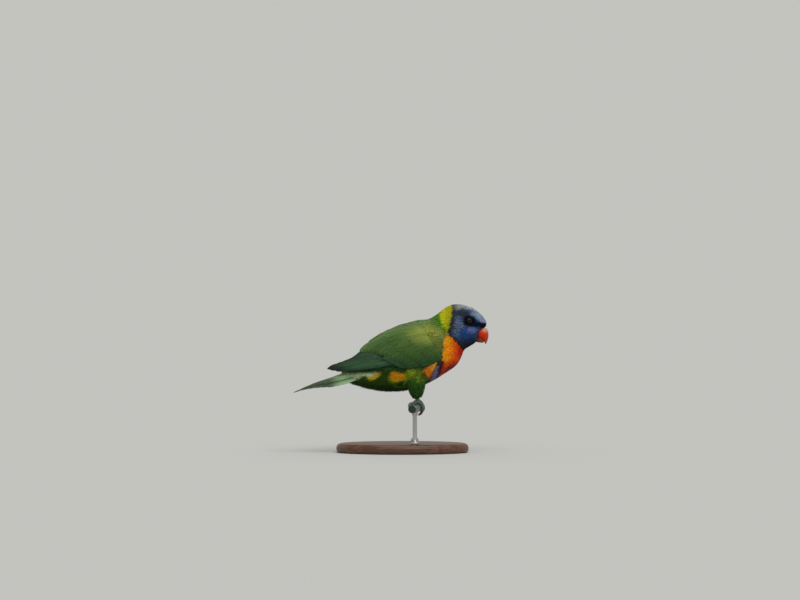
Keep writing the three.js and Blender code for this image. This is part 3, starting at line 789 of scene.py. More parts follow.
def plumage(points):
    """The colour of the coat at some points, in millimetres from the grip."""
    wobble = np.stack([noise(points, 4, seed) - 0.5 for seed in (11, 12, 13)], 1)
    places = points + 2.4 * wobble
    x, y, z = places.T
    base = green_colour(places)
    under = ramp(z - 0.1 * (x + 20), 52, 46) * ramp(x, 16, 6)
    base = base + (belly_colour(places) - base) * under[:, None]
    breast = ramp(x - np.interp(z, *WING_FRONT), -1.5, 1.5) * ramp(z, 95, 92)
    breast = np.maximum(breast * ramp(x + z, 50, 60), ramp(z, 60, 52) * ramp(x, 14.5, 17.5))
    base = base + (breast_colour(places) - base) * breast[:, None]
    base = blend(base, "orange_spot", patch(x + 0.3 * (z - 47), z, (12, 47), (5, 4.6), 0.4))
    collar_back = np.interp(z, *COLLAR_BACK)
    neck = ramp(x - np.interp(z, *STRIPE_BACK), -1, 1.5) * ramp(z, 92, 96)
    base = blend(base, "stripe", neck)
    base = blend(base, "lime_edge", ramp(x, collar_back - 2, collar_back + 0.5) * ramp(z, 96, 100))
    base = blend(base, "lime", ramp(x, collar_back - 0.5, collar_back + 3) * ramp(z, 97.5, 101))
    hood_back = np.interp(z, *HOOD_BACK)
    behind_hood = ramp(x, hood_back - 6, hood_back - 1) * ramp(z, 116, 106)
    base = blend(base, "lime_edge", neck * behind_hood * 0.8)
    hood = ramp(x, hood_back - 0.8, hood_back + 0.8)
    base = base + (hood_colour(places) - base) * hood[:, None]
    leg = on_thigh(points)
    ragged = 8 * (noise(points * np.array([1.6, 1.6, 0.5]), 4, 15) - 0.5)
    height = points[:, 2] + ragged
    base = blend(base, "thigh", leg)
    # The thigh's top is its own yellow-green, painted brighter as light against the wing's shadow.
    base = blend(base, "thigh_top_and_painted_light", leg * ramp(height, 30, 42) * 0.7)
    base = blend(base, "thigh_low", leg * ramp(height, 26, 14) * 0.8)
    # Painted light: the top of the thigh under the wing's overhang is lightened against its shadow.
    painted_light_under_wing = patch(x, z, (-1, 44), (8, 6), 0.9) * ramp(np.abs(y), 6, 12)
    return blend(base, "thigh_top_and_painted_light", painted_light_under_wing * 0.6)


# %% [markdown]
# A mesh holds such colours as an attribute with one value at each vertex. The skin gets them first,
# a little darker than the coat as painted shade, as it only shows in the gaps between feathers.

# %% Colour the skin
COLOURS = "plumage"
SKIN_SHADE = 0.85


def store_colours(mesh, colours):
    layer = mesh.attributes.new(COLOURS, "FLOAT_COLOR", "POINT")
    values = np.ones((len(colours), 4), np.float32)
    values[:, :3] = np.clip(colours, 0, 1)
    layer.data.foreach_set("color", values.ravel())


skin_places = vertices_of(skin)[0]
store_colours(skin.data, plumage(skin_places) * SKIN_SHADE)
print("coloured", len(skin_places), "vertices of the skin")

# %% [markdown]
# ## Feather material
# A feather is keratin, like a fingernail: hundreds of fine barbs side by side along a shaft. Light
# breaks up in them, so plumage is nearly matt, and the barbs show as fine slanting lines. Real barbs
# are about 0.3 mm apart, too fine to see here, so they are drawn 1 mm apart. The lines follow each
# feather by a map of its own, in centimetres across and along it.

# %% Feather material
BARB_MAP = "barbs"
BARB_GAP = 0.1  # centimetres
BARB_SLANT = 1.3


def own_colours(tree, share):
    """The colours stored on the mesh, made lighter or darker by a share of 1."""
    stored = add(tree, "Attribute", attribute_name=COLOURS)
    return add(tree, "VectorMath", {0: stored, "Scale": share}, operation="SCALE")


def feather_material(name, roughness, contrast, bump, shine):
    material, tree, shader = new_material(
        name, Roughness=roughness, IOR=1.54, Specular_IOR_Level=shine,
    )
    feather_map = add(tree, "UVMap", uv_map=BARB_MAP)
    across = add(tree, "SeparateXYZ", {"Vector": feather_map}, "X")
    along = across.node.outputs["Y"]
    out = add(tree, "Math", {0: across}, operation="ABSOLUTE")
    slant = add(tree, "Math", {0: out, 1: -BARB_SLANT, 2: along}, operation="MULTIPLY_ADD")
    ripple = add(tree, "Math", {0: slant, 1: 2 * math.pi / BARB_GAP}, operation="MULTIPLY")
    barbs = add(tree, "Math", {0: ripple}, operation="SINE")
    height = add(tree, "MapRange", {"Value": barbs, "From Min": -1.0, "From Max": 1.0})
    shade = add(tree, "Math", {
        0: height, 1: contrast, 2: 1.0 - contrast / 2,
    }, operation="MULTIPLY_ADD")
    speckle = add(tree, "TexNoise", {
        "Vector": add(tree, "TexCoord", give="Object"), "Scale": 420.0, "Detail": 2.0,
    })
    fleck = add(tree, "MapRange", {"Value": speckle, "To Min": 0.8, "To Max": 1.2})
    both = add(tree, "Math", {0: shade, 1: fleck}, operation="MULTIPLY")
    feed(shader, {
        "Base Color": own_colours(tree, both),
        "Normal": add(tree, "Bump", {"Height": height, "Strength": bump, "Distance": 0.1 * MM}),
    })
    return material


# Small feathers give the eye a soft, velvety colour. The barbs of flight feathers are hooked
# together into a smooth sheet, which gives a little more shine along each vane.
small_feather = feather_material("keratin, small feathers", 0.6, 0.2, 0.3, 0.12)
large_feather = feather_material("keratin, flight feathers", 0.5, 0.16, 0.4, 0.18)

# Down gives no highlight at all, only a dark, soft depth between the feathers.
under_coat, tree, shader = new_material("skin and down", Roughness=1.0, Specular_IOR_Level=0.1)
down = add(tree, "TexNoise", {
    "Vector": add(tree, "TexCoord", give="Object"), "Scale": 900.0, "Detail": 3.0,
})
fleck = add(tree, "MapRange", {"Value": down, "To Min": 0.6, "To Max": 1.3})
feed(shader, {"Base Color": own_colours(tree, fleck)})
finish_piece(skin, under_coat, "body_feathers", *FEATHERED)

# %% [markdown]
# ## Many feathers in one mesh
# Thousands of feathers as separate objects would be slow. Instead all feathers of a region are one
# mesh, made from arrays: each feather is a row of small rings, sewn together into a closed, thin,
# crowned blade. Each also gets its colours, its barb lines and its patch on the skin's map.

# %% Feather meshes
PATCH = 0.003  # width of a feather's patch, as a share of the skin's map


def feathers_object(name, points, colours, barbs, patches=None):
    """One object with a closed blade for each feather.

    points and colours hold three numbers, and barbs and patches two, for every feather, ring and
    corner. Points are in millimetres from the grip.
    """
    obj, loops = ring_mesh(name, points)
    for layer, values in ((PATCH_MAP, patches), (BARB_MAP, barbs)):
        if values is not None:
            uv = obj.data.uv_layers.new(name=layer)
            uv.data.foreach_set("uv", values.reshape(-1, 2)[loops].astype(np.float32).ravel())
    store_colours(obj.data, colours.reshape(-1, 3))
    obj.data.validate()
    return obj


print("each feather is painted from", PATCH, "of the skin's map")


# %% [markdown]
# ## Scattering and laying the small feathers
# Roots are drawn at random over the skin and thinned to one in each small cell, so that they keep
# their distance. From its root each shaft follows the flow of the coat over the skin. It starts
# sunk in and rises towards its tip, so that feathers in front lie over those behind, as tiles do.

# %% Scatter and lay feathers
TRIES = 6  # roots drawn for each one that stays
STIFFNESS = 0.7  # how much of its heading a shaft keeps at each step


def scatter(surface, spacing, rng, keep):
    """Roots about spacing millimetres apart on the part of a surface that keep() allows."""
    share = surface["area"] * keep(surface["centre"])
    wanted = int(TRIES * share.sum() / spacing ** 2)
    faces = rng.choice(len(share), wanted, p=share / share.sum())
    reach = np.sqrt(surface["area"][faces])[:, None]
    points = surface["centre"][faces] + reach * rng.uniform(-0.5, 0.5, (wanted, 3))
    cells = np.floor(points / spacing).astype(np.int64)
    off_middle = np.linalg.norm(points / spacing - cells - rng.uniform(0.3, 0.7, (wanted, 3)), axis=1)
    order = np.argsort(off_middle)
    _, first = np.unique(cells[order], axis=0, return_index=True)
    return points[order[first]]


def lay(surface, roots, lengths, rows, rng, sway):
    """Shafts over the surface: the place, up and side of every ring, and the face of every root."""
    place, face = settle(surface, roots)
    up = surface["up"][face]
    first_face = face
    heading = flat_on(flow(place, up) + rng.normal(0, sway, place.shape), up)
    places, ups, headings = [place], [up], [heading]
    for _ in range(rows - 1):
        ahead = place + heading * (lengths / (rows - 1))[:, None]
        near, face = settle(surface, ahead)
        up = unit(up + surface["up"][face])
        turned_to = flat_on(near - place + 1e-6, up)  # the small step keeps a still shaft from zero
        heading = flat_on(STIFFNESS * heading + 0.3 * turned_to, up)
        place = near
        places.append(place)
        ups.append(up)
        headings.append(heading)
    places, ups, headings = (np.stack(rows_of, 1) for rows_of in (places, ups, headings))
    return places, ups, np.cross(headings, ups), first_face


# %% [markdown]
# A blade's cross-section is a flat arch, given by a few corners. Its outline says how wide it is
# from root to tip. Three kinds are enough: a narrow streak for the face, a broad rounded feather
# for the body, and a thin lock of loose barbs that softens the edges.

# %% Kinds of small feather
STREAK = {
    "rows": [0, 0.3, 0.62, 0.85, 1.0], "outline": [0.55, 1.0, 0.9, 0.55, 0.08],
    "section": [(-1, 0), (0, 0.26), (1, 0)],
}
ROUND = {
    "rows": [0, 0.25, 0.5, 0.72, 0.88, 0.96, 1.0], "outline": [0.3, 0.72, 0.95, 1.0, 0.8, 0.52, 0.12],
    "section": [(-1, -0.02), (-0.5, 0.05), (0, 0.1), (0.5, 0.05), (1, -0.02)],
}
LOCK = {
    "rows": [0, 0.4, 0.75, 1.0], "outline": [1.0, 0.85, 0.55, 0.08],
    "section": [(-1, 0), (0, 0.2), (1, 0)],
}
print("kinds of small feather:", [len(kind["rows"]) for kind in (STREAK, ROUND, LOCK)], "rings each")

# %% [markdown]
# One function makes a whole coat of such feathers. Their length and width may change along the
# bird, rise says how far a tip stands off the skin, fray how uneven the outlines are and sway how
# far the shafts stray from the flow.

# %% A coat of feathers
DROOP = 0.02


def along_bird(start, more, first_x, last_x):
    """A measure that changes smoothly from start at first_x to start + more at last_x."""
    return lambda points: start + more * ramp(points[:, 0], first_x, last_x)


def measured(measure, points):
    """A measure at some points, given as one number or as a function of them."""
    return measure(points) if callable(measure) else np.full(len(points), float(measure))


def coat(name, kind, rng, spacing, length, width, rise, keep, paint, slot, fray=0.0, sway=0.08):
    """Covers part of the skin with one kind of feather, in a mesh of its own."""
    roots = scatter(body, spacing, rng, keep)
    count = len(roots)
    lengths = measured(length, roots) * rng.uniform(0.85, 1.15, count)
    halves = measured(width, roots) / 2 * rng.uniform(0.85, 1.15, count)
    shares = np.array(kind["rows"])
    line, up, side, face = lay(body, roots, lengths, len(shares), rng, sway)
    across, height = np.array(kind["section"]).T
    outline = np.array(kind["outline"])[None] * (1 + fray * rng.uniform(-1, 1, (count, len(shares))))
    reach = outline[:, :, None] * across * halves[:, None, None]
    lift = (-0.5 + (rise + 0.5) * shares)[None, :] * rng.uniform(0.95, 1.05, (count, 1))
    lift = lift[:, :, None] + height * np.sqrt(outline)[:, :, None] - DROOP * np.abs(reach)
    points = line[:, :, None] + side[:, :, None] * reach[..., None] + up[:, :, None] * lift[..., None]
    colours = paint(line, shares, across, rng)
    along = shares[None, :, None] * lengths[:, None, None] / 10
    barbs = np.stack([reach / 10, np.broadcast_to(along, reach.shape)], -1)
    patch_shape = np.stack(np.meshgrid(across / 2, shares - 0.5), -1) * PATCH
    patches = body["map"][face][:, None, None] + patch_shape[None]
    finish_piece(feathers_object(name, points, colours, barbs, patches), small_feather, slot)


def plain_paint(root_shade, edge_shade, spread, tip=None):
    """A painter for a coat: darker at root and edges, and different from feather to feather."""
    def paint(line, shares, across, rng):
        main = plumage(line[:, int(len(shares) * 0.7)])
        main = main * rng.uniform(1 - spread, 1 + spread, (len(line), 1))
        along = root_shade + (1 - root_shade) * ramp(shares, 0.05, 0.6)
        edge = 1 + (edge_shade - 1) * np.abs(across) ** 2
        colours = main[:, None, None] * (along[:, None] * edge[None])[None, :, :, None]
        return tip(colours, line, shares, across, rng) if tip else colours
    return paint


# %% [markdown]
# ## The hood
# The face of a lorikeet has stiff, narrow feathers with pale shafts, shortest round the bill and
# the eye and longer towards the nape. They leave a bare ring round each eye, and those that grow in
# front of it stop short of it.

# %% Coat of the hood
EYE_X, EYE_Z = 64.4, 110.4
BARE_RING = 4.0
rng = np.random.default_rng(41)


def from_eye(points):
    return np.hypot(points[:, 0] - EYE_X, points[:, 2] - EYE_Z)


def on_hood(points):
    x, y, z = points.T
    behind_bill = (x > 73.8) & (z < 99.5) & (np.abs(y) < 9.5)
    return (x > np.interp(z, *HOOD_BACK) - 2) & (from_eye(points) > BARE_RING) & ~behind_bill


def hood_length(points):
    full = along_bird(3.0, 3.6, 84, 50)(points)
    in_front = (points[:, 0] > EYE_X) & (np.abs(points[:, 2] - EYE_Z) < BARE_RING)
    short = np.clip(from_eye(points) - BARE_RING + 0.8, 1.2, full)
    return np.where(in_front, short, full)


def pale_shafts_and_sheen(colours, line, shares, across, rng):
    middle = (1 - np.abs(across))[None, None, :] * ramp(shares, 0.3, 0.8)[None, :, None]
    here = line[:, 2]
    # Near the top outline the pale shafts are mostly painted sheen; elsewhere they are the feathers'
    # own.
    sheen_near_top = ramp(below_top_line(here[:, 0], here[:, 2]), 11, 3)
    amount = 0.1 + 0.5 * sheen_near_top
    amount = amount * (1 - stroke(here[:, 0], here[:, 2], (60, 110), (86, 105), 6))
    amount = amount * ramp(here[:, 0] - np.interp(here[:, 2], *HOOD_BACK), 1, 5)
    amount = amount * rng.uniform(0.1, 1, len(line))
    return colours + (PAINT["crown"] - colours) * (middle * amount[:, None, None])[..., None]


coat(
    "coat_hood", STREAK, rng, spacing=1.1, length=hood_length, width=along_bird(1.05, 0.5, 84, 50),
    rise=1.1, keep=on_hood, paint=plain_paint(0.7, 0.8, 0.25, pale_shafts_and_sheen), slot="head_feathers",
)

# %% [markdown]
# ## Collar and breast
# Behind the hood the feathers grow broader. On the breast each is a rounded plate of a few
# millimetres with a darker rim, and those low on the breast end in a blue-black bar, so the colour
# looks ragged there.

# %% Coat of the collar and the breast


def inside_arm(points, margin=0.0):
    """True where a point is on the pad of a wing."""
    x, y, z = points.T
    top, bottom = row_values(WING_ARM, x, "top", "bottom")
    in_profile = (x < 36.5) & (x > -63) & (z < top + margin) & (z > bottom - margin)
    return in_profile & (np.abs(y) > wing_shell(x, z) - 6.5)


def on_neck(points):
    x, _, z = points.T
    behind = x < np.interp(z, *HOOD_BACK) + 1
    return behind & (x > 12) & (z > 88) & (x > 40 - 1.1 * (z - 84)) & ~inside_arm(points)


def on_breast(points):
    x, _, z = points.T
    behind = x < np.interp(z, *HOOD_BACK) + 1
    in_front = (x > 4) & (x + 0.4 * z > 26) & (z <= 92) & (on_thigh(points) < 0.5)
    return behind & in_front & ~inside_arm(points)


def dark_bars(colours, line, shares, across, rng):
    here = line[:, 4]
    low = ramp(here[:, 2], 60, 50) * ramp(here[:, 0], 24, 32) * rng.uniform(0.0, 1.0, len(line))
    band = ramp(shares, 0.7, 0.9)[None, :, None] * np.ones(len(across))[None, None]
    share = low[:, None, None] * band * 0.8
    return colours + (PAINT["bar"] - colours) * share[..., None]


coat(
    "coat_collar", ROUND, rng, spacing=1.9, length=8.0, width=3.2, rise=0.9, keep=on_neck,
    paint=plain_paint(0.85, 0.96, 0.08), slot="collar_feathers", fray=0.14,
)
coat(
    "coat_breast", ROUND, rng, spacing=2.0, length=9.5, width=3.8, rise=1.0, keep=on_breast,
    paint=plain_paint(0.8, 0.92, 0.1, dark_bars), slot="body_feathers", fray=0.16,
)

# %% [markdown]
# ## Back, belly and thighs
# The back between the wings carries broad green feathers. The belly and the flanks are looser, and
# the thighs wear long ones that point down and hide the ankle. Thin locks of loose barbs between
# them soften the flanks and thighs, where the photograph shows ragged tufts.

# %% Coat of the back, belly and thighs


def on_back(points):
    x, _, z = points.T
    above = z > np.interp(x, [-98, -63, -33, 0, 20], [40, 60, 78, 86, 92])
    return (x <= 40 - 1.1 * (z - 84)) & (x <= 34) & above & ~inside_arm(points, -3.0)


def on_belly(points):
    x, _, z = points.T
    below_wing = z < np.interp(x, [-98, -60, -15, 10, 30], [60, 62, 60, 62, 70])
    return (x <= 14) & below_wing & (on_thigh(points) < 0.6) & ~inside_arm(points, -1.0)


def on_legs(points):
    return (on_thigh(points) > 0.35) & (points[:, 2] > 9)


def on_tufts(points):
    _, y, z = points.T
    return ((on_legs(points)) | (on_belly(points) & (z < 50))) & (np.abs(y) > 4)


coat(
    "coat_back", ROUND, rng, spacing=2.7, length=along_bird(12, 5, -30, -80), width=6.6, rise=1.1,
    keep=on_back, paint=plain_paint(0.9, 0.97, 0.06), slot="body_feathers", fray=0.12, sway=0.05,
)
coat(
    "coat_belly", ROUND, rng, spacing=2.4, length=along_bird(11, 9, -40, -75),
    width=along_bird(4.4, 0.8, -50, -75), rise=1.2, keep=on_belly,
    paint=plain_paint(0.75, 0.9, 0.16), slot="body_feathers", fray=0.18,
)
coat(
    "coat_thighs", ROUND, rng, spacing=1.8, length=8.0, width=2.6, rise=1.4, keep=on_legs,
    paint=plain_paint(0.7, 0.9, 0.2), slot="body_feathers", fray=0.2,
)
coat(
    "coat_tufts", LOCK, rng, spacing=1.8, length=9, width=0.7, rise=2.6, keep=on_tufts,
    paint=plain_paint(0.8, 1.0, 0.35), slot="body_feathers", sway=0.3,
)

# %% [markdown]
# ## A flight feather
# A flight feather has a stiff shaft with a narrow vane on its leading side and a broad one behind.
# Here it is a thin closed plate on a fine grid: the shaft is a raised ridge, the vanes droop a
# little to their edges, and small nicks show where the barbs have parted.

# %% Vanes on a grid
VANE_ROWS = np.array([0, 0.1, 0.2, 0.32, 0.44, 0.56, 0.66, 0.75, 0.82, 0.88, 0.925, 0.96, 0.985, 1.0])
VANE_COLUMNS = np.array([-1, -0.72, -0.42, -0.12, -0.05, 0.05, 0.12, 0.42, 0.72, 1.0])
SHAFT = np.array([0, 0, 0, 0.03, 0.2, 0.2, 0.03, 0, 0, 0])
VANE_RING = np.concatenate([VANE_COLUMNS, VANE_COLUMNS[::-1]])  # over the top and back underneath
VANE_THICK = 0.28
VANE_DROOP = 0.03
PARTED = 0.8  # share of the edge's corners that stay whole


def vane_outline(tip_start, root_width=0.5):
    """Share of the full width at each row: an even blade that rounds off from tip_start on."""
    root = root_width + (1 - root_width) * ramp(VANE_ROWS, 0, 0.34)
    along_tip = np.clip((VANE_ROWS - tip_start) / (1.0 - tip_start), 0, 1)
    return np.maximum(root * np.sqrt(np.clip(1 - along_tip ** 2, 0, 1)), 0.05)


def vane_grid(centre, up, side, left, right, outline, nick, rng):
    """The closed ring of corners at each row of each vane, and their places on the barb map.

    centre, up and side have a row for each ring. left and right are the widths of the two vanes in
    millimetres, side being the way to the right.
    """
    count, rows = centre.shape[:2]
    parted = rng.random((count, rows, 2)) > PARTED
    nicks = 1 - nick * parted * rng.uniform(0.3, 1, (count, rows, 2))
    share = np.abs(VANE_COLUMNS)
    on_left = VANE_COLUMNS < 0
    width = np.where(on_left, -left[:, None, None], right[:, None, None])
    reach = width * share * outline[:, :, None]
    edge = np.where(on_left, nicks[:, :, :1], nicks[:, :, 1:])
    reach = reach * (1 - (1 - edge) * (share > 0.9))
    droop = -VANE_DROOP * np.abs(reach) ** 1.3
    top = droop + SHAFT * np.sqrt(outline)[:, :, None]
    bottom = droop - VANE_THICK * (1 - 0.5 * share)
    middle = centre[:, :, None] + side[:, :, None] * reach[..., None]
    above, below = (middle + up[:, :, None] * height[..., None] for height in (top, bottom))
    reach = np.concatenate([reach, reach[:, :, ::-1]], 2)
    length = np.linalg.norm(centre[:, -1] - centre[:, 0], axis=1)
    along = np.broadcast_to((VANE_ROWS[None] * length[:, None])[:, :, None], reach.shape)
    return np.concatenate([above, below[:, :, ::-1]], 2), np.stack([reach, along], -1) / 10


def joined(parts):
    """Parts that each hold points, colours and barb places, as one of each."""
    return (np.concatenate([part[k] for part in parts]) for k in range(3))


def painted_shade_underneath(shade):
    """1 for the corners on top of a vane, and a painted shade that darkens those underneath."""
    return np.concatenate([np.ones(len(VANE_COLUMNS)), np.full(len(VANE_COLUMNS), shade)])


print("a vane has", len(VANE_ROWS), "rings of", len(VANE_RING), "corners")

# %% [markdown]
# In the wing a vane shows the green of its place, tinted with its own colour. Its rim and its tip
# are darker, and its underside is darkest, painted shade that sets each vane off from the next.

# %% Colours of the vanes


def vane_paint(points, colours, own_colour, dark_tip, rng):
    """Colours of some vanes: the green of their place, tinted with their own, with darker rims."""
    green = green_colour(points.reshape(-1, 3)).reshape(points.shape)
    main, inner, rim = (linear(value) for value in colours)
    own = main + (inner - main) * ramp(VANE_RING, 0.02, 0.3)[None, None, :, None]
    base = green + (own - green) * own_colour
    edge = ramp(np.abs(VANE_RING), 0.8, 1.0)[None, None, :, None]
    tip = ramp(VANE_ROWS, dark_tip, 1.0)[None, :, None, None]
    base = base + (rim - base) * np.maximum(edge, tip) * (0.05 + own_colour)
    shaft = (np.abs(VANE_RING) < 0.08)[None, None, :, None] * 0.35
    # The vane's underside is darkened as painted shade.
    base = base * (1 - shaft) * painted_shade_underneath(0.55)[None, None, :, None]
    return base * rng.uniform(0.9, 1.1, (len(points), 1, 1, 1))


# %% [markdown]
# ## The tiers of the wing
# Tiers overlap like roof tiles, each rooted under the one in front: the long primaries that form
# the wing's point, the secondaries above them, then the greater and the median coverts. Within a
# tier every feather lies over the one below it.

# %% Wing tiers
TIERS = [
    {
        "name": "primaries", "count": 11, "width": (9.5, 11), "lift": -0.5, "bend": (-0.8, 0.6),
        "roots": [(-22, 57), (-40, 73)], "left_share": 0.64, "own": 0.85, "tip": 0.5,
        "tips": [(-104, 46.5), (-119, 49.5), (-110, 51.5), (-99, 54.5), (-88, 58.5), (-79, 66)],
        "colours": ("#3f6848", "#345a42", "#10160f"), "dark_tip": 0.62,
    },
    {
        "name": "primary_coverts", "count": 7, "width": (8, 8), "lift": 0.1, "bend": (0.8, 0.8),
        "roots": [(12, 57), (0, 64)], "left_share": 0.5, "own": 0.6, "tip": 0.6,
        "tips": [(-27, 53.5), (-36, 57.5), (-46, 63)],
        "colours": ("#335a36", "#2e5240", "#182d1e"), "dark_tip": 0.9,
    },
    {
        "name": "secondaries", "count": 13, "width": (11, 11), "lift": 0.5, "bend": (1.2, -0.6),
        "roots": [(4, 59), (-30, 97)], "left_share": 0.5, "own": 0.45, "tip": 0.76,
        "tips": [(-16, 55), (-29, 61), (-46, 69), (-60, 71), (-73.5, 70.5)],
        "colours": ("#3a5c28", "#325226", "#142812"), "dark_tip": 0.9,
    },
    {
        "name": "greater_coverts", "count": 11, "width": (12, 14), "lift": 1.1, "bend": (0.8, -1.5),
        "roots": [(24, 66), (-4, 98)], "left_share": 0.48, "own": 0.15, "tip": 0.76,
        "tips": [(2, 56.5), (-24, 71), (-46, 91)],
        "colours": ("#3f6024", "#385624", "#27421d"), "dark_tip": 0.92,
    },
    {
        "name": "median_coverts", "count": 11, "width": (10, 12), "lift": 1.6, "bend": (0.5, 0.5),
        "roots": [(30, 70), (8, 101)], "left_share": 0.5, "own": 0.1, "tip": 0.74,
        "tips": [(14, 60), (-7, 77), (-22, 97)],
        "colours": ("#466627", "#3e5c24", "#2c461d"), "dark_tip": 0.92,
    },
]
for tier in TIERS:
    print(tier["name"], "has", tier["count"], "feathers")

# %% [markdown]
# A tier's roots and tips each lie on a line in profile. The shafts run straight from one line to
# the other, sag a little, and are laid on the wing's shell. Every vane is tilted slightly and lies
# a tenth of a millimetre over the one before it, and its root dives under the tier in front.

# %% Laying a tier
ROOT_DIVE = 4.2
VANE_TILT = 0.1
TIER_STACK = 0.1
SLOPE_STEP = 2.0  # over which the slope of the shell is measured
STEEPEST = 2.5


def along_line(line, shares):
    """Points on a smooth line through given points of the profile, at shares of its run."""
    line = np.array(line, float)
    ticks = np.linspace(0, 1, len(line))
    fine = np.linspace(0, 1, 61)
    bent = np.stack([np.interp(fine, ticks, line[:, k]) for k in (0, 1)], 1)
    for _ in range(30):
        bent[1:-1] = (bent[:-2] + bent[1:-1] + bent[2:]) / 3
    return np.stack([np.interp(shares, fine, bent[:, k]) for k in (0, 1)], 1)


def tier_shafts(tier):
    """Each shaft's places, ups and sideways directions on the wing's shell, on the bird's left."""
    shares = np.linspace(0, 1, tier["count"])
    roots, tips = along_line(tier["roots"], shares), along_line(tier["tips"], shares)
    heading = tips - roots
    upward = unit(np.stack([heading[:, 1], -heading[:, 0]], 1))
    sag = np.interp(shares, [0, 1], tier["bend"])[:, None] * np.sin(np.pi * VANE_ROWS)
    straight = roots[:, None] + heading[:, None] * VANE_ROWS[None, :, None]
    x, z = np.moveaxis(straight - upward[:, None] * sag[..., None], -1, 0)
    centre = np.stack([x, wing_shell(x, z), z], -1)
    step = SLOPE_STEP
    out_x = (wing_shell(x + step, z) - wing_shell(x - step, z)) / (2 * step)
    out_z = (wing_shell(x, z + step) - wing_shell(x, z - step)) / (2 * step)
    up = unit(np.stack([-out_x, np.ones_like(x), -np.clip(out_z, -STEEPEST, STEEPEST)], -1))
    along = unit(np.gradient(centre, axis=1))
    side = unit(np.cross(along, up))
    stack = tier["lift"] + TIER_STACK * np.arange(tier["count"])[:, None, None]
    stack = stack - ROOT_DIVE * ramp(VANE_ROWS, 0.34, 0.0)[None, :, None]
    up, side = unit(up + side * VANE_TILT), unit(side - up * VANE_TILT)
    return centre + up * stack, up, side, shares


def make_tier(tier, rng):
    centre, up, side, shares = tier_shafts(tier)
    count = tier["count"]
    width = np.interp(shares, [0, 1], tier["width"]) * rng.uniform(0.96, 1.04, count)
    outline = vane_outline(tier["tip"])[None] * np.ones((count, 1))
    left, right = width * tier["left_share"], width * (1 - tier["left_share"])
    points, barbs = vane_grid(centre, up, side, left, right, outline, 0.1, rng)
    return points, vane_paint(points, tier["colours"], tier["own"], tier["dark_tip"], rng), barbs


for side_name, mirror in (("left", 1), ("right", -1)):
    rng = np.random.default_rng(7)
    points, colours, barbs = joined([make_tier(tier, rng) for tier in TIERS])
    points = points * np.array([1, mirror, 1])
    wing = feathers_object(f"wing_vanes_{side_name}", points, colours, barbs)
    finish_piece(wing, large_feather, "wing_feathers", f"wing_{side_name}")

# %% [markdown]
# ## Small coverts and shoulder feathers
# The shoulder is tiled with small round coverts. Along the upper edge of the wing lie the scapulars,
# long soft feathers that grow from the shoulder and hide where wing and back meet.

# %% Coverts of the wing


def on_shoulder(points):
    x, _, z = points.T
    return inside_arm(points, 3.0) & (x > -2 + 0.3 * (z - 82))


def on_scapulars(points):
    x, y, z = points.T
    from_top = below_top_line(x, z)
    return (x < 26) & (x > -44) & (from_top < 26) & (from_top > 3) & (np.abs(y) > 9)


coat(
    "lesser_coverts", ROUND, np.random.default_rng(17), spacing=2.1,
    length=along_bird(9.0, 2.5, 30, 0), width=along_bird(5.0, 2.2, 30, 0), rise=0.8,
    keep=on_shoulder, paint=plain_paint(0.95, 1.0, 0.05), slot="wing_feathers", fray=0.1,
)
coat(
    "scapulars", ROUND, np.random.default_rng(19), spacing=3.0,
    length=along_bird(11, 8, 24, 2), width=along_bird(5.5, 3.5, 24, 2), rise=1.0,
    keep=on_scapulars, paint=plain_paint(0.92, 0.98, 0.05), slot="wing_feathers", fray=0.08,
    sway=0.05,
)

# %% [markdown]
# ## The tail
# Twelve narrow feathers lie in six pairs, the middle pair longest and on top. Seen from the side
# the lower pairs step down and forwards, and each shows a pale rim against the dark one below. In
# the table, step is how much shorter each pair is than the one above it, and side, drop, spread and
# roll say how far each pair is set out, set down, splayed and rolled from the one above it.

# %% Tail feathers
TAIL = {
    "pairs": 6, "root": (-80, 49.6), "slope": (21, 13), "longest": 84, "step": 8.2, "width": 12.5,
    "spread": 1.0, "side": 1.7, "drop": 2.1, "roll": 13,
}
TAIL_COLOURS = ("#82a273", "#68895d", "#aec6a8")


def tail_shaft(pair, side_sign):
    slope = math.radians(np.interp(pair / (TAIL["pairs"] - 1), [0, 1], TAIL["slope"]))
    back = np.array([-math.cos(slope), 0, -math.sin(slope)])
    above = np.array([-math.sin(slope), 0, math.cos(slope)])
    roll = math.radians(TAIL["roll"] * pair + 8) * side_sign
    across = np.array([0, math.cos(roll), -math.sin(roll)])
    out = np.cross(across, back)
    out = out if out[2] > 0 else -out
    root = np.array([TAIL["root"][0], side_sign * (1.6 + TAIL["side"] * pair), TAIL["root"][1]])
    root = root + above * (-TAIL["drop"] * pair - (0.5 if side_sign > 0 else 0))
    splay = math.radians(TAIL["spread"] * pair + 0.4) * side_sign
    along = unit(back + np.array([0, math.tan(splay), 0]))
    length = TAIL["longest"] - TAIL["step"] * pair
    centre = root + along * length * VANE_ROWS[:, None]
    rows = np.ones((len(VANE_ROWS), 1))
    return centre, out * rows, across * rows * side_sign


def tail_paint(points, rng):
    main, inner, rim = (linear(value) for value in TAIL_COLOURS)
    base = main + (inner - main) * ramp(np.abs(VANE_RING), 0.5, 0.1)[None, None, :, None]
    base = base + (rim - base) * ramp(VANE_RING, 0.55, 0.95)[None, None, :, None] * 0.8
    shaft = 1 - 0.6 * (np.abs(VANE_RING) < 0.08)[None, None, :, None]
    # The undersides are darkened as painted shade.
    base = base * shaft * painted_shade_underneath(0.25)[None, None, :, None]
    along = 1 - 0.8 * ramp(VANE_ROWS, 0.4, 0.88)[None, :, None, None]
    return base * along * rng.uniform(0.9, 1.1, (len(points), 1, 1, 1))


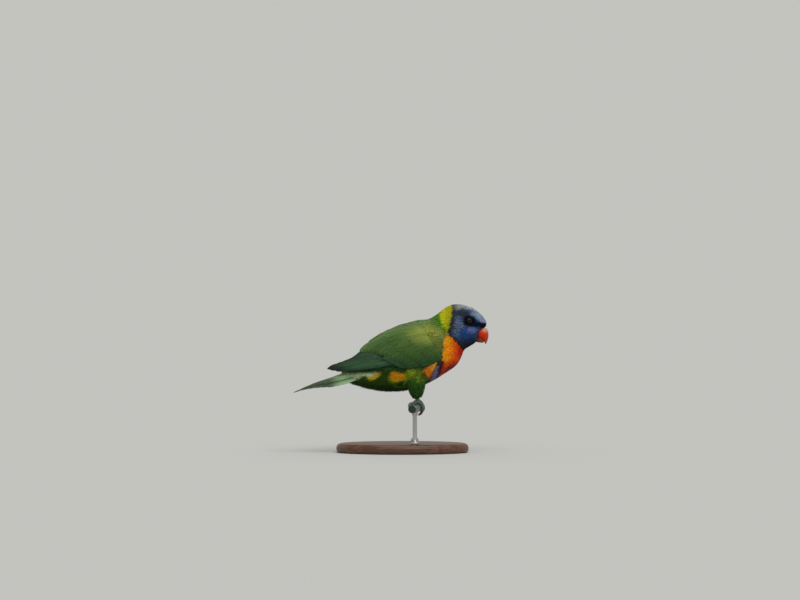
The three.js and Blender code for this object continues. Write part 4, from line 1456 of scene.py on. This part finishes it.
def half_tail(side_sign, rng):
    """The feathers on one side of the tail. Corners run the other way round on the right."""
    shafts = [tail_shaft(pair, side_sign) for pair in range(TAIL["pairs"])]
    centre, up, side = (np.stack([shaft[k] for shaft in shafts]) for k in range(3))
    half = np.full(TAIL["pairs"], TAIL["width"] / 2) * 0.95
    outline = vane_outline(0.7, 0.7)[None] * np.ones((TAIL["pairs"], 1))
    points, barbs = vane_grid(centre, up, side, half, half, outline, 0.08, rng)
    made = (points, tail_paint(points, rng), barbs)
    return [values[:, :, ::-1] for values in made] if side_sign < 0 else made


rng = np.random.default_rng(23)
tail = feathers_object("tail_vanes", *joined([half_tail(side_sign, rng) for side_sign in (-1, 1)]))
finish_piece(tail, large_feather, "tail_feathers", "tail")

# %% [markdown]
# ## A turned shape
# Eyelids, rods and the base are all turned: round about one axis. Each starts as a circle, which is
# extruded along its axis and resized ring by ring, as a profile is cut on a lathe.

# %% Turned shapes


def turned(name, profile, sides=64, filled=True, stretch=1.0):
    """A turned shape about the Z axis. profile is a row of (radius, height) in millimetres."""
    (radius, height), *rest = profile
    bpy.ops.object.select_all(action="DESELECT")
    bpy.ops.mesh.primitive_circle_add(
        vertices=sides, radius=radius * MM, location=(0, 0, 0),
        fill_type="NGON" if filled else "NOTHING",
    )
    obj = bpy.context.object
    obj.name = name
    bpy.ops.object.mode_set(mode="EDIT")
    bpy.ops.mesh.select_all(action="SELECT")
    bpy.ops.transform.translate(value=(0, 0, height * MM))
    for next_radius, next_height in rest:
        rise, share = (next_height - height) * MM, next_radius / radius
        bpy.ops.mesh.extrude_region_move(TRANSFORM_OT_translate={"value": (0, 0, rise)})
        bpy.ops.transform.resize(value=(share, share, 1), center_override=(0, 0, next_height * MM))
        radius, height = next_radius, next_height
    bpy.ops.mesh.select_all(action="SELECT")
    bpy.ops.transform.resize(value=(stretch, 1, 1), center_override=(0, 0, 0))
    bpy.ops.mesh.normals_make_consistent(inside=False)
    bpy.ops.object.mode_set(mode="OBJECT")
    return obj


def place(obj, location, rotation=(0, 0, 0)):
    """Turns and moves an object, and applies that, so that the object stays at the origin."""
    obj.rotation_euler = [math.radians(angle) for angle in rotation]
    obj.location = location
    only(obj)
    bpy.ops.object.transform_apply(location=True, rotation=True, scale=True)


def sharpen_over(obj, angle):
    """Shades an object smooth, except along edges that turn by more than an angle in degrees."""
    only(obj)
    bpy.ops.object.shade_smooth_by_angle(angle=math.radians(angle))


# %% [markdown]
# ## The eyes
# A bird's eye is a wet globe that a ring of bare, wrinkled skin holds. The globe is a sphere whose
# front bulges a little, with its iris and pupil as colours by the distance from its axis. A museum
# model has it in glass, which is clear and glossy over a dark iris.

# %% Glass and bare skin
# Glass gives the eye its one small, sharp highlight over a dark depth.
eye_glass, tree, shader = new_material("glass eye", Roughness=0.1, IOR=1.5, Specular_IOR_Level=0.2)
fibres = add(tree, "TexNoise", {"Vector": object_places(tree), "Scale": 1800, "Detail": 3.0})
fibre_shade = add(tree, "MapRange", {"Value": fibres, "To Min": 0.75, "To Max": 1.25})
feed(shader, {"Base Color": own_colours(tree, fibre_shade)})

# Bare skin gives a dull, nearly black ring that sets the glossy eye off from the feathers.
lid_skin, tree, shader = new_material(
    "bare wrinkled skin", Roughness=0.7, IOR=1.4, Specular_IOR_Level=0.15,
)
wrinkles = add(tree, "TexNoise", {"Vector": object_places(tree), "Scale": 1400, "Detail": 3.0})
feed(shader, {
    "Base Color": add(tree, "Mix", {
        "Factor": wrinkles, "A": rgba("#030508"), "B": rgba("#0c1018"),
    }, "Result", data_type="RGBA"),
    "Normal": add(tree, "Bump", {"Height": wrinkles, "Strength": 0.5, "Distance": 0.3 * MM}),
})
print("materials of the eye:", eye_glass.name, "and", lid_skin.name)

# %% [markdown]
# The globe's colours follow the distance from its axis, so they are worked out while that axis is
# still upright. Globe and lid are then turned together: sideways, and a little forwards and down.

# %% Eyes
EYE_RADIUS = 4.4
CORNEA_BULGE = 0.25
EYE_TURN = {"sideways": 82, "forwards": 8}
IRIS = {"pupil": 1.6, "edge": 2.8, "inner": "#2e1307", "outer": "#120703", "rest": "#070606"}
LID_PROFILE = [
    (4.9, -0.4), (4.8, 0.9), (4.5, 1.7), (4.1, 2.3), (3.75, 2.65), (3.4, 2.8), (3.15, 2.65),
    (3.2, 2.2),
]


def eye_colours(points):
    """Iris and pupil by the distance from the eye's axis, here still Z."""
    out = np.hypot(points[:, 0], points[:, 1])
    inner, outer, rest = (linear(IRIS[key]) for key in ("inner", "outer", "rest"))
    share = ramp(out, IRIS["pupil"], IRIS["edge"])[:, None]
    colours = inner + (outer - inner) * share
    colours = colours * ramp(out, IRIS["pupil"] - 0.25, IRIS["pupil"] + 0.15)[:, None]
    colours = colours + (rest - colours) * ramp(out, IRIS["edge"] - 0.15, IRIS["edge"] + 0.2)[:, None]
    return np.where(points[:, 2:] > 0, colours, rest)


for side_name, sign in (("left", 1), ("right", -1)):
    low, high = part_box(f"eye_{side_name}")
    middle = (low + high) / 2
    turn = (-sign * EYE_TURN["sideways"], 0, -sign * EYE_TURN["forwards"])
    bpy.ops.object.select_all(action="DESELECT")
    bpy.ops.mesh.primitive_uv_sphere_add(
        segments=64, ring_count=64, radius=EYE_RADIUS * MM, location=(0, 0, 0),
    )
    globe = bpy.context.object
    globe.name = f"eye_globe_{side_name}"
    round_points = np.array([vertex.co[:] for vertex in globe.data.vertices]) / MM
    store_colours(globe.data, eye_colours(round_points))
    round_points[:, 2] += CORNEA_BULGE * ramp(round_points[:, 2] / EYE_RADIUS, 0.72, 1.0)
    globe.data.vertices.foreach_set("co", (round_points * MM).ravel())
    smooth_shade(globe)
    place(globe, middle, turn)
    finish_piece(globe, eye_glass, "eye", f"eye_{side_name}")
    lid = turned(f"eyelid_{side_name}", LID_PROFILE, sides=48, filled=False)
    modify(lid, "SUBSURF", levels=1, render_levels=1)
    smooth_shade(lid)
    place(lid, middle, turn)
    finish_piece(lid, lid_skin, "foot_skin")

# %% [markdown]
# ## The bill
# A bill is bone under a sheath of horn. The solids give its form. Copies of them are remeshed
# finely and smoothed, so that no facet shows, and coloured by place: orange-red horn, paler along the
# ridge and at the worn tip, darker towards the gape, and with a pale painted sheen along the top from
# the cere at its root forwards.

# %% Bill
BILL = {
    "horn": "#c82e02", "dark": "#4a1208", "ridge": "#b48a62", "bill_top_sheen": "#ba9070", "tip": "#8a6038",
    "lower": "#8a3c18",
}
BILL_VOXEL = 0.32
BILL_SWELL = 0.12
BILL_ROOT = 2.6
RIDGE_LINE = ([80.7, 83.6, 87.4, 92, 96.6, 100.9], [85.9, 87.4, 88.8, 89.4, 88.9, 86.6])

# Horn gives a waxy, soft shine, with faint streaks along the way that it grows.
bill_horn, tree, shader = new_material(
    "horn of the bill", Roughness=0.45, IOR=1.54, Specular_IOR_Level=0.2,
)
growth = add(tree, "TexNoise", {
    "Vector": object_places(tree, (1, 1, 0.25)), "Scale": 900, "Detail": 3.0,
})
streaks = add(tree, "MapRange", {"Value": growth, "To Min": 0.8, "To Max": 1.18})
feed(shader, {
    "Base Color": own_colours(tree, streaks),
    "Normal": add(tree, "Bump", {"Height": growth, "Strength": 0.25, "Distance": 0.15 * MM}),
})


def bill_colour(points, upper):
    x, y, z = points.T
    base = np.tile(linear(BILL["horn" if upper else "lower"]), (len(points), 1))
    shades = [("dark", ramp(x, 79, 75.5) * 0.85)]
    if upper:
        ridge = ramp(np.interp(z, *RIDGE_LINE) - x, 4.0, 0.4) * ramp(np.abs(y), 4.2, 1.6)
        tip = ramp(z, 87, 82)
        # The pale band along the top of the upper bill, from the cere forwards, is a painted sheen.
        shades += [("ridge", 0.8 * ridge), ("bill_top_sheen", ramp(x, 79.5, 84) * ramp(z, 93.5, 98.5) * 0.85)]
        shades += [("dark", ramp(x, 82, 79) * ramp(z, 97, 99.5) * 0.8), ("tip", tip * 0.85)]
    else:
        shades += [("dark", ramp(z, 84, 81.5) * 0.5)]
    for name, share in shades:
        base = base + (linear(BILL[name]) - base) * share[:, None]
    return base * (0.9 + 0.2 * noise(points, 2, 31))[:, None]


for node, upper in (("bill_upper", True), ("bill_lower", False)):
    horn = copy_of(f"{node}_horn", node)
    modify(horn, "REMESH", mode="VOXEL", voxel_size=BILL_VOXEL * MM)
    modify(horn, "SMOOTH", factor=0.6, iterations=8)
    swell(horn, BILL_SWELL)
    sheath = vertices_of(horn)[0]
    sheath[:, 0] -= BILL_ROOT * ramp(sheath[:, 0], 81, 76.5)
    move_vertices(horn, sheath)
    smooth_shade(horn)
    store_colours(horn.data, bill_colour(vertices_of(horn)[0], upper))
    finish_piece(horn, bill_horn, "bill", node)

# %% [markdown]
# ## Feet and claws
# A parrot grips with two toes in front and two behind. Their skin is horny and grey, in rows of
# broad scales across the top of each toe. Copies of the solids are remeshed and smoothed, and the
# joints between the scales are pressed into them, at even steps of the angle round the rod.

# %% Scaled skin
# Scaled skin gives dry, broken highlights, a different one on each scale.
foot_skin, tree, shader = new_material("horny scaled skin", Roughness=0.5, IOR=1.5)
pebbles = add(tree, "TexVoronoi", {
    "Vector": add(tree, "TexCoord", give="Object"), "Scale": 1100.0,
}, feature="DISTANCE_TO_EDGE")
seam = add(tree, "MapRange", {"Value": pebbles, "From Max": 0.25})
blotches = add(tree, "TexNoise", {"Vector": object_places(tree), "Scale": 350, "Detail": 3.0})
foot_grey = add(tree, "Mix", {
    "Factor": blotches, "A": rgba("#474e49"), "B": rgba("#858c7f"),
}, "Result", data_type="RGBA")
feed(shader, {
    "Base Color": add(tree, "Mix", {
        "Factor": seam, "A": rgba("#1c211d"), "B": foot_grey,
    }, "Result", data_type="RGBA"),
    "Normal": add(tree, "Bump", {"Height": seam, "Strength": 0.6, "Distance": 0.2 * MM}),
})
print("material of the feet:", foot_skin.name)

# %% [markdown]
# The toes curl round the rod, which is itself a piece of a wide ring, so the angle round the rod is
# measured from the ring's own line. Above the toes the shank stands upright, and its scales go by
# height.

# %% Feet
RING_RADIUS = 187.0
FOOT_VOXEL = 0.36
SCALE_STEP = 1.7
SCALE_DEPTH = 0.2
TOE_MIDDLE = 3.0  # from the rod's face to the middle of a toe
SHANK_START = 10  # height of the lowest scale of the shank


def press_scales(obj):
    points, normals = vertices_of(obj)
    x, y, z = points.T
    rod_x = np.sqrt(RING_RADIUS ** 2 - y ** 2) - RING_RADIUS
    around = np.arctan2(z, x - rod_x)
    out = np.stack([np.cos(around), 0 * around, np.sin(around)], 1)
    on_toe = ramp((normals * out).sum(1), -0.1, 0.5) * ramp(z, SHANK_START + 1.5, SHANK_START - 1)
    toe_run = around * (ROD_RADIUS + TOE_MIDDLE) / SCALE_STEP
    on_shank = z > SHANK_START
    run = np.where(on_shank, z / SCALE_STEP, toe_run)
    joint = ramp(np.abs(run - np.round(run)), 0.16, 0.0)
    press = SCALE_DEPTH * joint * np.where(on_shank, ramp(normals[:, 0], -0.2, 0.5), on_toe)
    move_vertices(obj, points - normals * press[:, None])


for side_name in ("left", "right"):
    foot = copy_of(f"foot_scales_{side_name}", f"foot_{side_name}")
    modify(foot, "REMESH", mode="VOXEL", voxel_size=FOOT_VOXEL * MM)
    modify(foot, "SMOOTH", factor=0.6, iterations=5)
    press_scales(foot)
    smooth_shade(foot)
    finish_piece(foot, foot_skin, "foot_skin", f"foot_{side_name}")

# %% [markdown]
# Claws are dark, smooth horn, round in section and drawn out to a point. Each copy of a claw is
# subdivided, which rounds its six sides.

# %% Claws
CLAW_SWELL = 0.1  # makes up for what subdividing takes off

# Dark horn gives each claw one long, narrow highlight on near black.
claw_horn, tree, shader = new_material("dark horn", Roughness=0.3, IOR=1.54)
claw_streaks = add(tree, "TexNoise", {
    "Vector": object_places(tree, (1, 1, 0.4)), "Scale": 700, "Detail": 3.0,
})
feed(shader, {
    "Base Color": add(tree, "Mix", {
        "Factor": claw_streaks, "A": rgba("#0c0e0d"), "B": rgba("#33352f"),
    }, "Result", data_type="RGBA"),
    "Normal": add(tree, "Bump", {"Height": claw_streaks, "Strength": 0.2, "Distance": 0.1 * MM}),
})

for side_name in ("left", "right"):
    for toe in ("inner_front", "outer_front", "inner_back", "outer_back"):
        node = f"claw_{toe}_{side_name}"
        claw = copy_of(f"horn_{node}", node)
        swell(claw, CLAW_SWELL)
        modify(claw, "SUBSURF", levels=2, render_levels=2)
        smooth_shade(claw)
        finish_piece(claw, claw_horn, "claw", node)

# %% [markdown]
# ## The perch
# The bird grips a piece of a thin painted rod that curves gently, as part of a wide ring. It is a
# disc spun about the ring's centre, with its sawn ends bevelled.

# %% Perch
HALF_ANGLE = math.degrees(math.asin(-perch_low.y / MM / (RING_RADIUS + ROD_RADIUS)))
ring_centre = spot(-RING_RADIUS, 0, 0)
start = math.radians(-HALF_ANGLE)

bpy.ops.object.select_all(action="DESELECT")
bpy.ops.mesh.primitive_circle_add(vertices=48, radius=ROD_RADIUS * MM, fill_type="NGON")
rod = bpy.context.object
rod.name = "painted_rod"
rod_end = ring_centre + Vector((math.cos(start), math.sin(start), 0)) * RING_RADIUS * MM
place(rod, rod_end, (90, 0, -HALF_ANGLE))
bpy.ops.object.mode_set(mode="EDIT")
bpy.ops.mesh.select_all(action="SELECT")
bpy.ops.mesh.spin(steps=60, angle=-math.radians(2 * HALF_ANGLE), center=ring_centre, axis=(0, 0, 1))
bpy.ops.mesh.select_all(action="SELECT")
bpy.ops.mesh.remove_doubles(threshold=0.01 * MM)
bpy.ops.mesh.normals_make_consistent(inside=False)
bpy.ops.object.mode_set(mode="OBJECT")
modify(rod, "BEVEL", width=0.5 * MM, segments=3, limit_method="ANGLE", angle_limit=math.radians(60))
print("the rod spans", round(2 * HALF_ANGLE, 1), "degrees of its ring")

# %% [markdown]
# The green gloss paint has weathered. Along the top it is chalky, rubbed by claws and chipped down
# to its pale primer, so both chalk and chips are held to the faces that look upwards.

# %% Paint of the perch
# Weathered enamel gives a wet-looking shine below and a dull, chalky bloom along the top.
rod_paint, tree, shader = new_material("weathered gloss enamel", Roughness=0.35, IOR=1.5)
facing = add(tree, "SeparateXYZ", {"Vector": add(tree, "NewGeometry", give="Normal")}, "Z")
upward = add(tree, "MapRange", {"Value": facing, "From Min": 0.2, "From Max": 1.0})
bloom = add(tree, "TexNoise", {"Vector": object_places(tree), "Scale": 160, "Detail": 3.0})
chalk = add(tree, "Math", {0: upward, 1: bloom}, operation="MULTIPLY")
enamel = add(tree, "Mix", {
    "Factor": chalk, "A": rgba("#06251d"), "B": rgba("#3c7466"),
}, "Result", data_type="RGBA")
flakes = add(tree, "TexNoise", {
    "Vector": object_places(tree, (1, 0.45, 1)), "Scale": 230, "Detail": 3.0,
})
chips = add(tree, "MapRange", {"Value": flakes, "From Min": 0.62, "From Max": 0.66})
chipped = add(tree, "Math", {0: chips, 1: upward}, operation="MULTIPLY")
sunk = add(tree, "Math", {0: chipped, 1: -1.0}, operation="MULTIPLY")
feed(shader, {
    "Base Color": add(tree, "Mix", {
        "Factor": chipped, "A": enamel, "B": rgba("#aeb8ae"),
    }, "Result", data_type="RGBA"),
    "Roughness": add(tree, "MapRange", {"Value": chalk, "To Min": 0.28, "To Max": 0.75}),
    "Normal": add(tree, "Bump", {"Height": sunk, "Strength": 0.5, "Distance": 0.2 * MM}),
})
sharpen_over(rod, 35)
finish_piece(rod, rod_paint, "perch_paint", "perch")

# %% [markdown]
# ## The stand
# Something has to carry the perch, and a museum would use a small stand: two steel rods with turned
# collars, on an oval base of oiled hardwood. Each rod is a shape turned to one profile.

# %% Stand rods
# Brushed steel gives soft, stretched reflections of the room, across the way it was brushed.
steel, tree, shader = new_material("brushed stainless steel", Metallic=1.0, Roughness=0.32)
brushing = add(tree, "TexNoise", {
    "Vector": object_places(tree, (1, 1, 12)), "Scale": 500, "Detail": 2.0,
})
feed(shader, {
    "Base Color": add(tree, "Mix", {
        "Factor": brushing, "A": rgba("#9b9c9c"), "B": rgba("#c9cac9"),
    }, "Result", data_type="RGBA"),
    "Roughness": add(tree, "MapRange", {"Value": brushing, "To Min": 0.24, "To Max": 0.42}),
    "Normal": add(tree, "Bump", {"Height": brushing, "Strength": 0.15, "Distance": 0.05 * MM}),
})


def rod_profile(foot, cup):
    """Radius and height down a stand rod, from its foot on the base to the cup under the perch."""
    return [
        (5.0, foot), (5.0, foot + 2.6), (4.6, foot + 3.3), (3.9, foot + 3.8), (3.0, foot + 4.2),
        (2.6, foot + 5.0), (2.6, cup - 4.5), (2.9, cup - 3.2), (3.7, cup - 1.8), (4.2, cup - 0.6),
        (4.2, cup + 2.4),
    ]


for side_name in ("left", "right"):
    low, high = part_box(f"stand_rod_{side_name}")
    profile = rod_profile(low.z / MM, perch_low.z / MM)
    post = turned(f"steel_rod_{side_name}", profile, sides=48)
    modify(
        post, "BEVEL", width=0.3 * MM, segments=3, limit_method="ANGLE",
        angle_limit=math.radians(50),
    )
    place(post, ((low.x + high.x) / 2, (low.y + high.y) / 2, 0))
    sharpen_over(post, 40)
    finish_piece(post, steel, "stand_steel", f"stand_rod_{side_name}")

# %% [markdown]
# The base is turned as a round disc with a moulded edge and then stretched to an oval.

# %% Base
base_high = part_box("stand_base")[1]
HALF_WIDTH = base_high.y / MM
MOULDING = [
    (3.0, 0.0), (1.2, 0.9), (0.2, 2.2), (0, 3.4), (0, 7.6), (0.5, 8.2), (0.5, 8.8), (0.9, 9.8),
    (1.8, 10.9), (3.2, 11.7), (4.6, base_high.z / MM),
]
BASE_PROFILE = [(HALF_WIDTH - inset, height) for inset, height in MOULDING]

base = turned("walnut_base", BASE_PROFILE, sides=128, stretch=base_high.x / base_high.y)
modify(base, "BEVEL", width=0.25 * MM, segments=2, limit_method="ANGLE", angle_limit=math.radians(30))
place(base, (0, 0, 0))
sharpen_over(base, 35)
print("the base is", round(2 * HALF_WIDTH, 1), "mm wide")

# %% [markdown]
# Its grain runs along it: broad, wavy bands of growth rings, with short dark pores drawn 0.6 mm
# wide, since the real ones, at 0.2 mm, would not show.

# %% Walnut
# Oiled walnut gives a warm, satin brown, with its grain as darker bands and short pores.
wood, tree, shader = new_material("oiled walnut", Roughness=0.4, IOR=1.5)
rings = add(tree, "TexNoise", {
    "Vector": object_places(tree, (0.35, 3.2, 3.2)), "Scale": 26, "Detail": 4.0,
})
bands = add(tree, "Math", {0: rings, 1: 34.0}, operation="MULTIPLY")
wave = add(tree, "Math", {0: bands}, operation="SINE")
growth = add(tree, "MapRange", {"Value": wave, "From Min": -1.0, "From Max": 1.0})
specks = add(tree, "TexNoise", {
    "Vector": object_places(tree, (0.12, 4.0, 4.0)), "Scale": 300, "Detail": 1.0,
})
pores = add(tree, "MapRange", {"Value": specks, "From Min": 0.58, "From Max": 0.74})
board = add(tree, "Mix", {
    "Factor": growth, "A": rgba("#4c2d1c"), "B": rgba("#694126"),
}, "Result", data_type="RGBA")
sunk = add(tree, "Math", {0: pores, 1: -1.0}, operation="MULTIPLY")
feed(shader, {
    "Base Color": add(tree, "Mix", {
        "Factor": pores, "A": board, "B": rgba("#331e12"),
    }, "Result", data_type="RGBA"),
    "Roughness": add(tree, "MapRange", {"Value": growth, "To Min": 0.34, "To Max": 0.48}),
    "Normal": add(tree, "Bump", {"Height": sunk, "Strength": 0.4, "Distance": 0.15 * MM}),
})
finish_piece(base, wood, "base_wood", "stand_base")
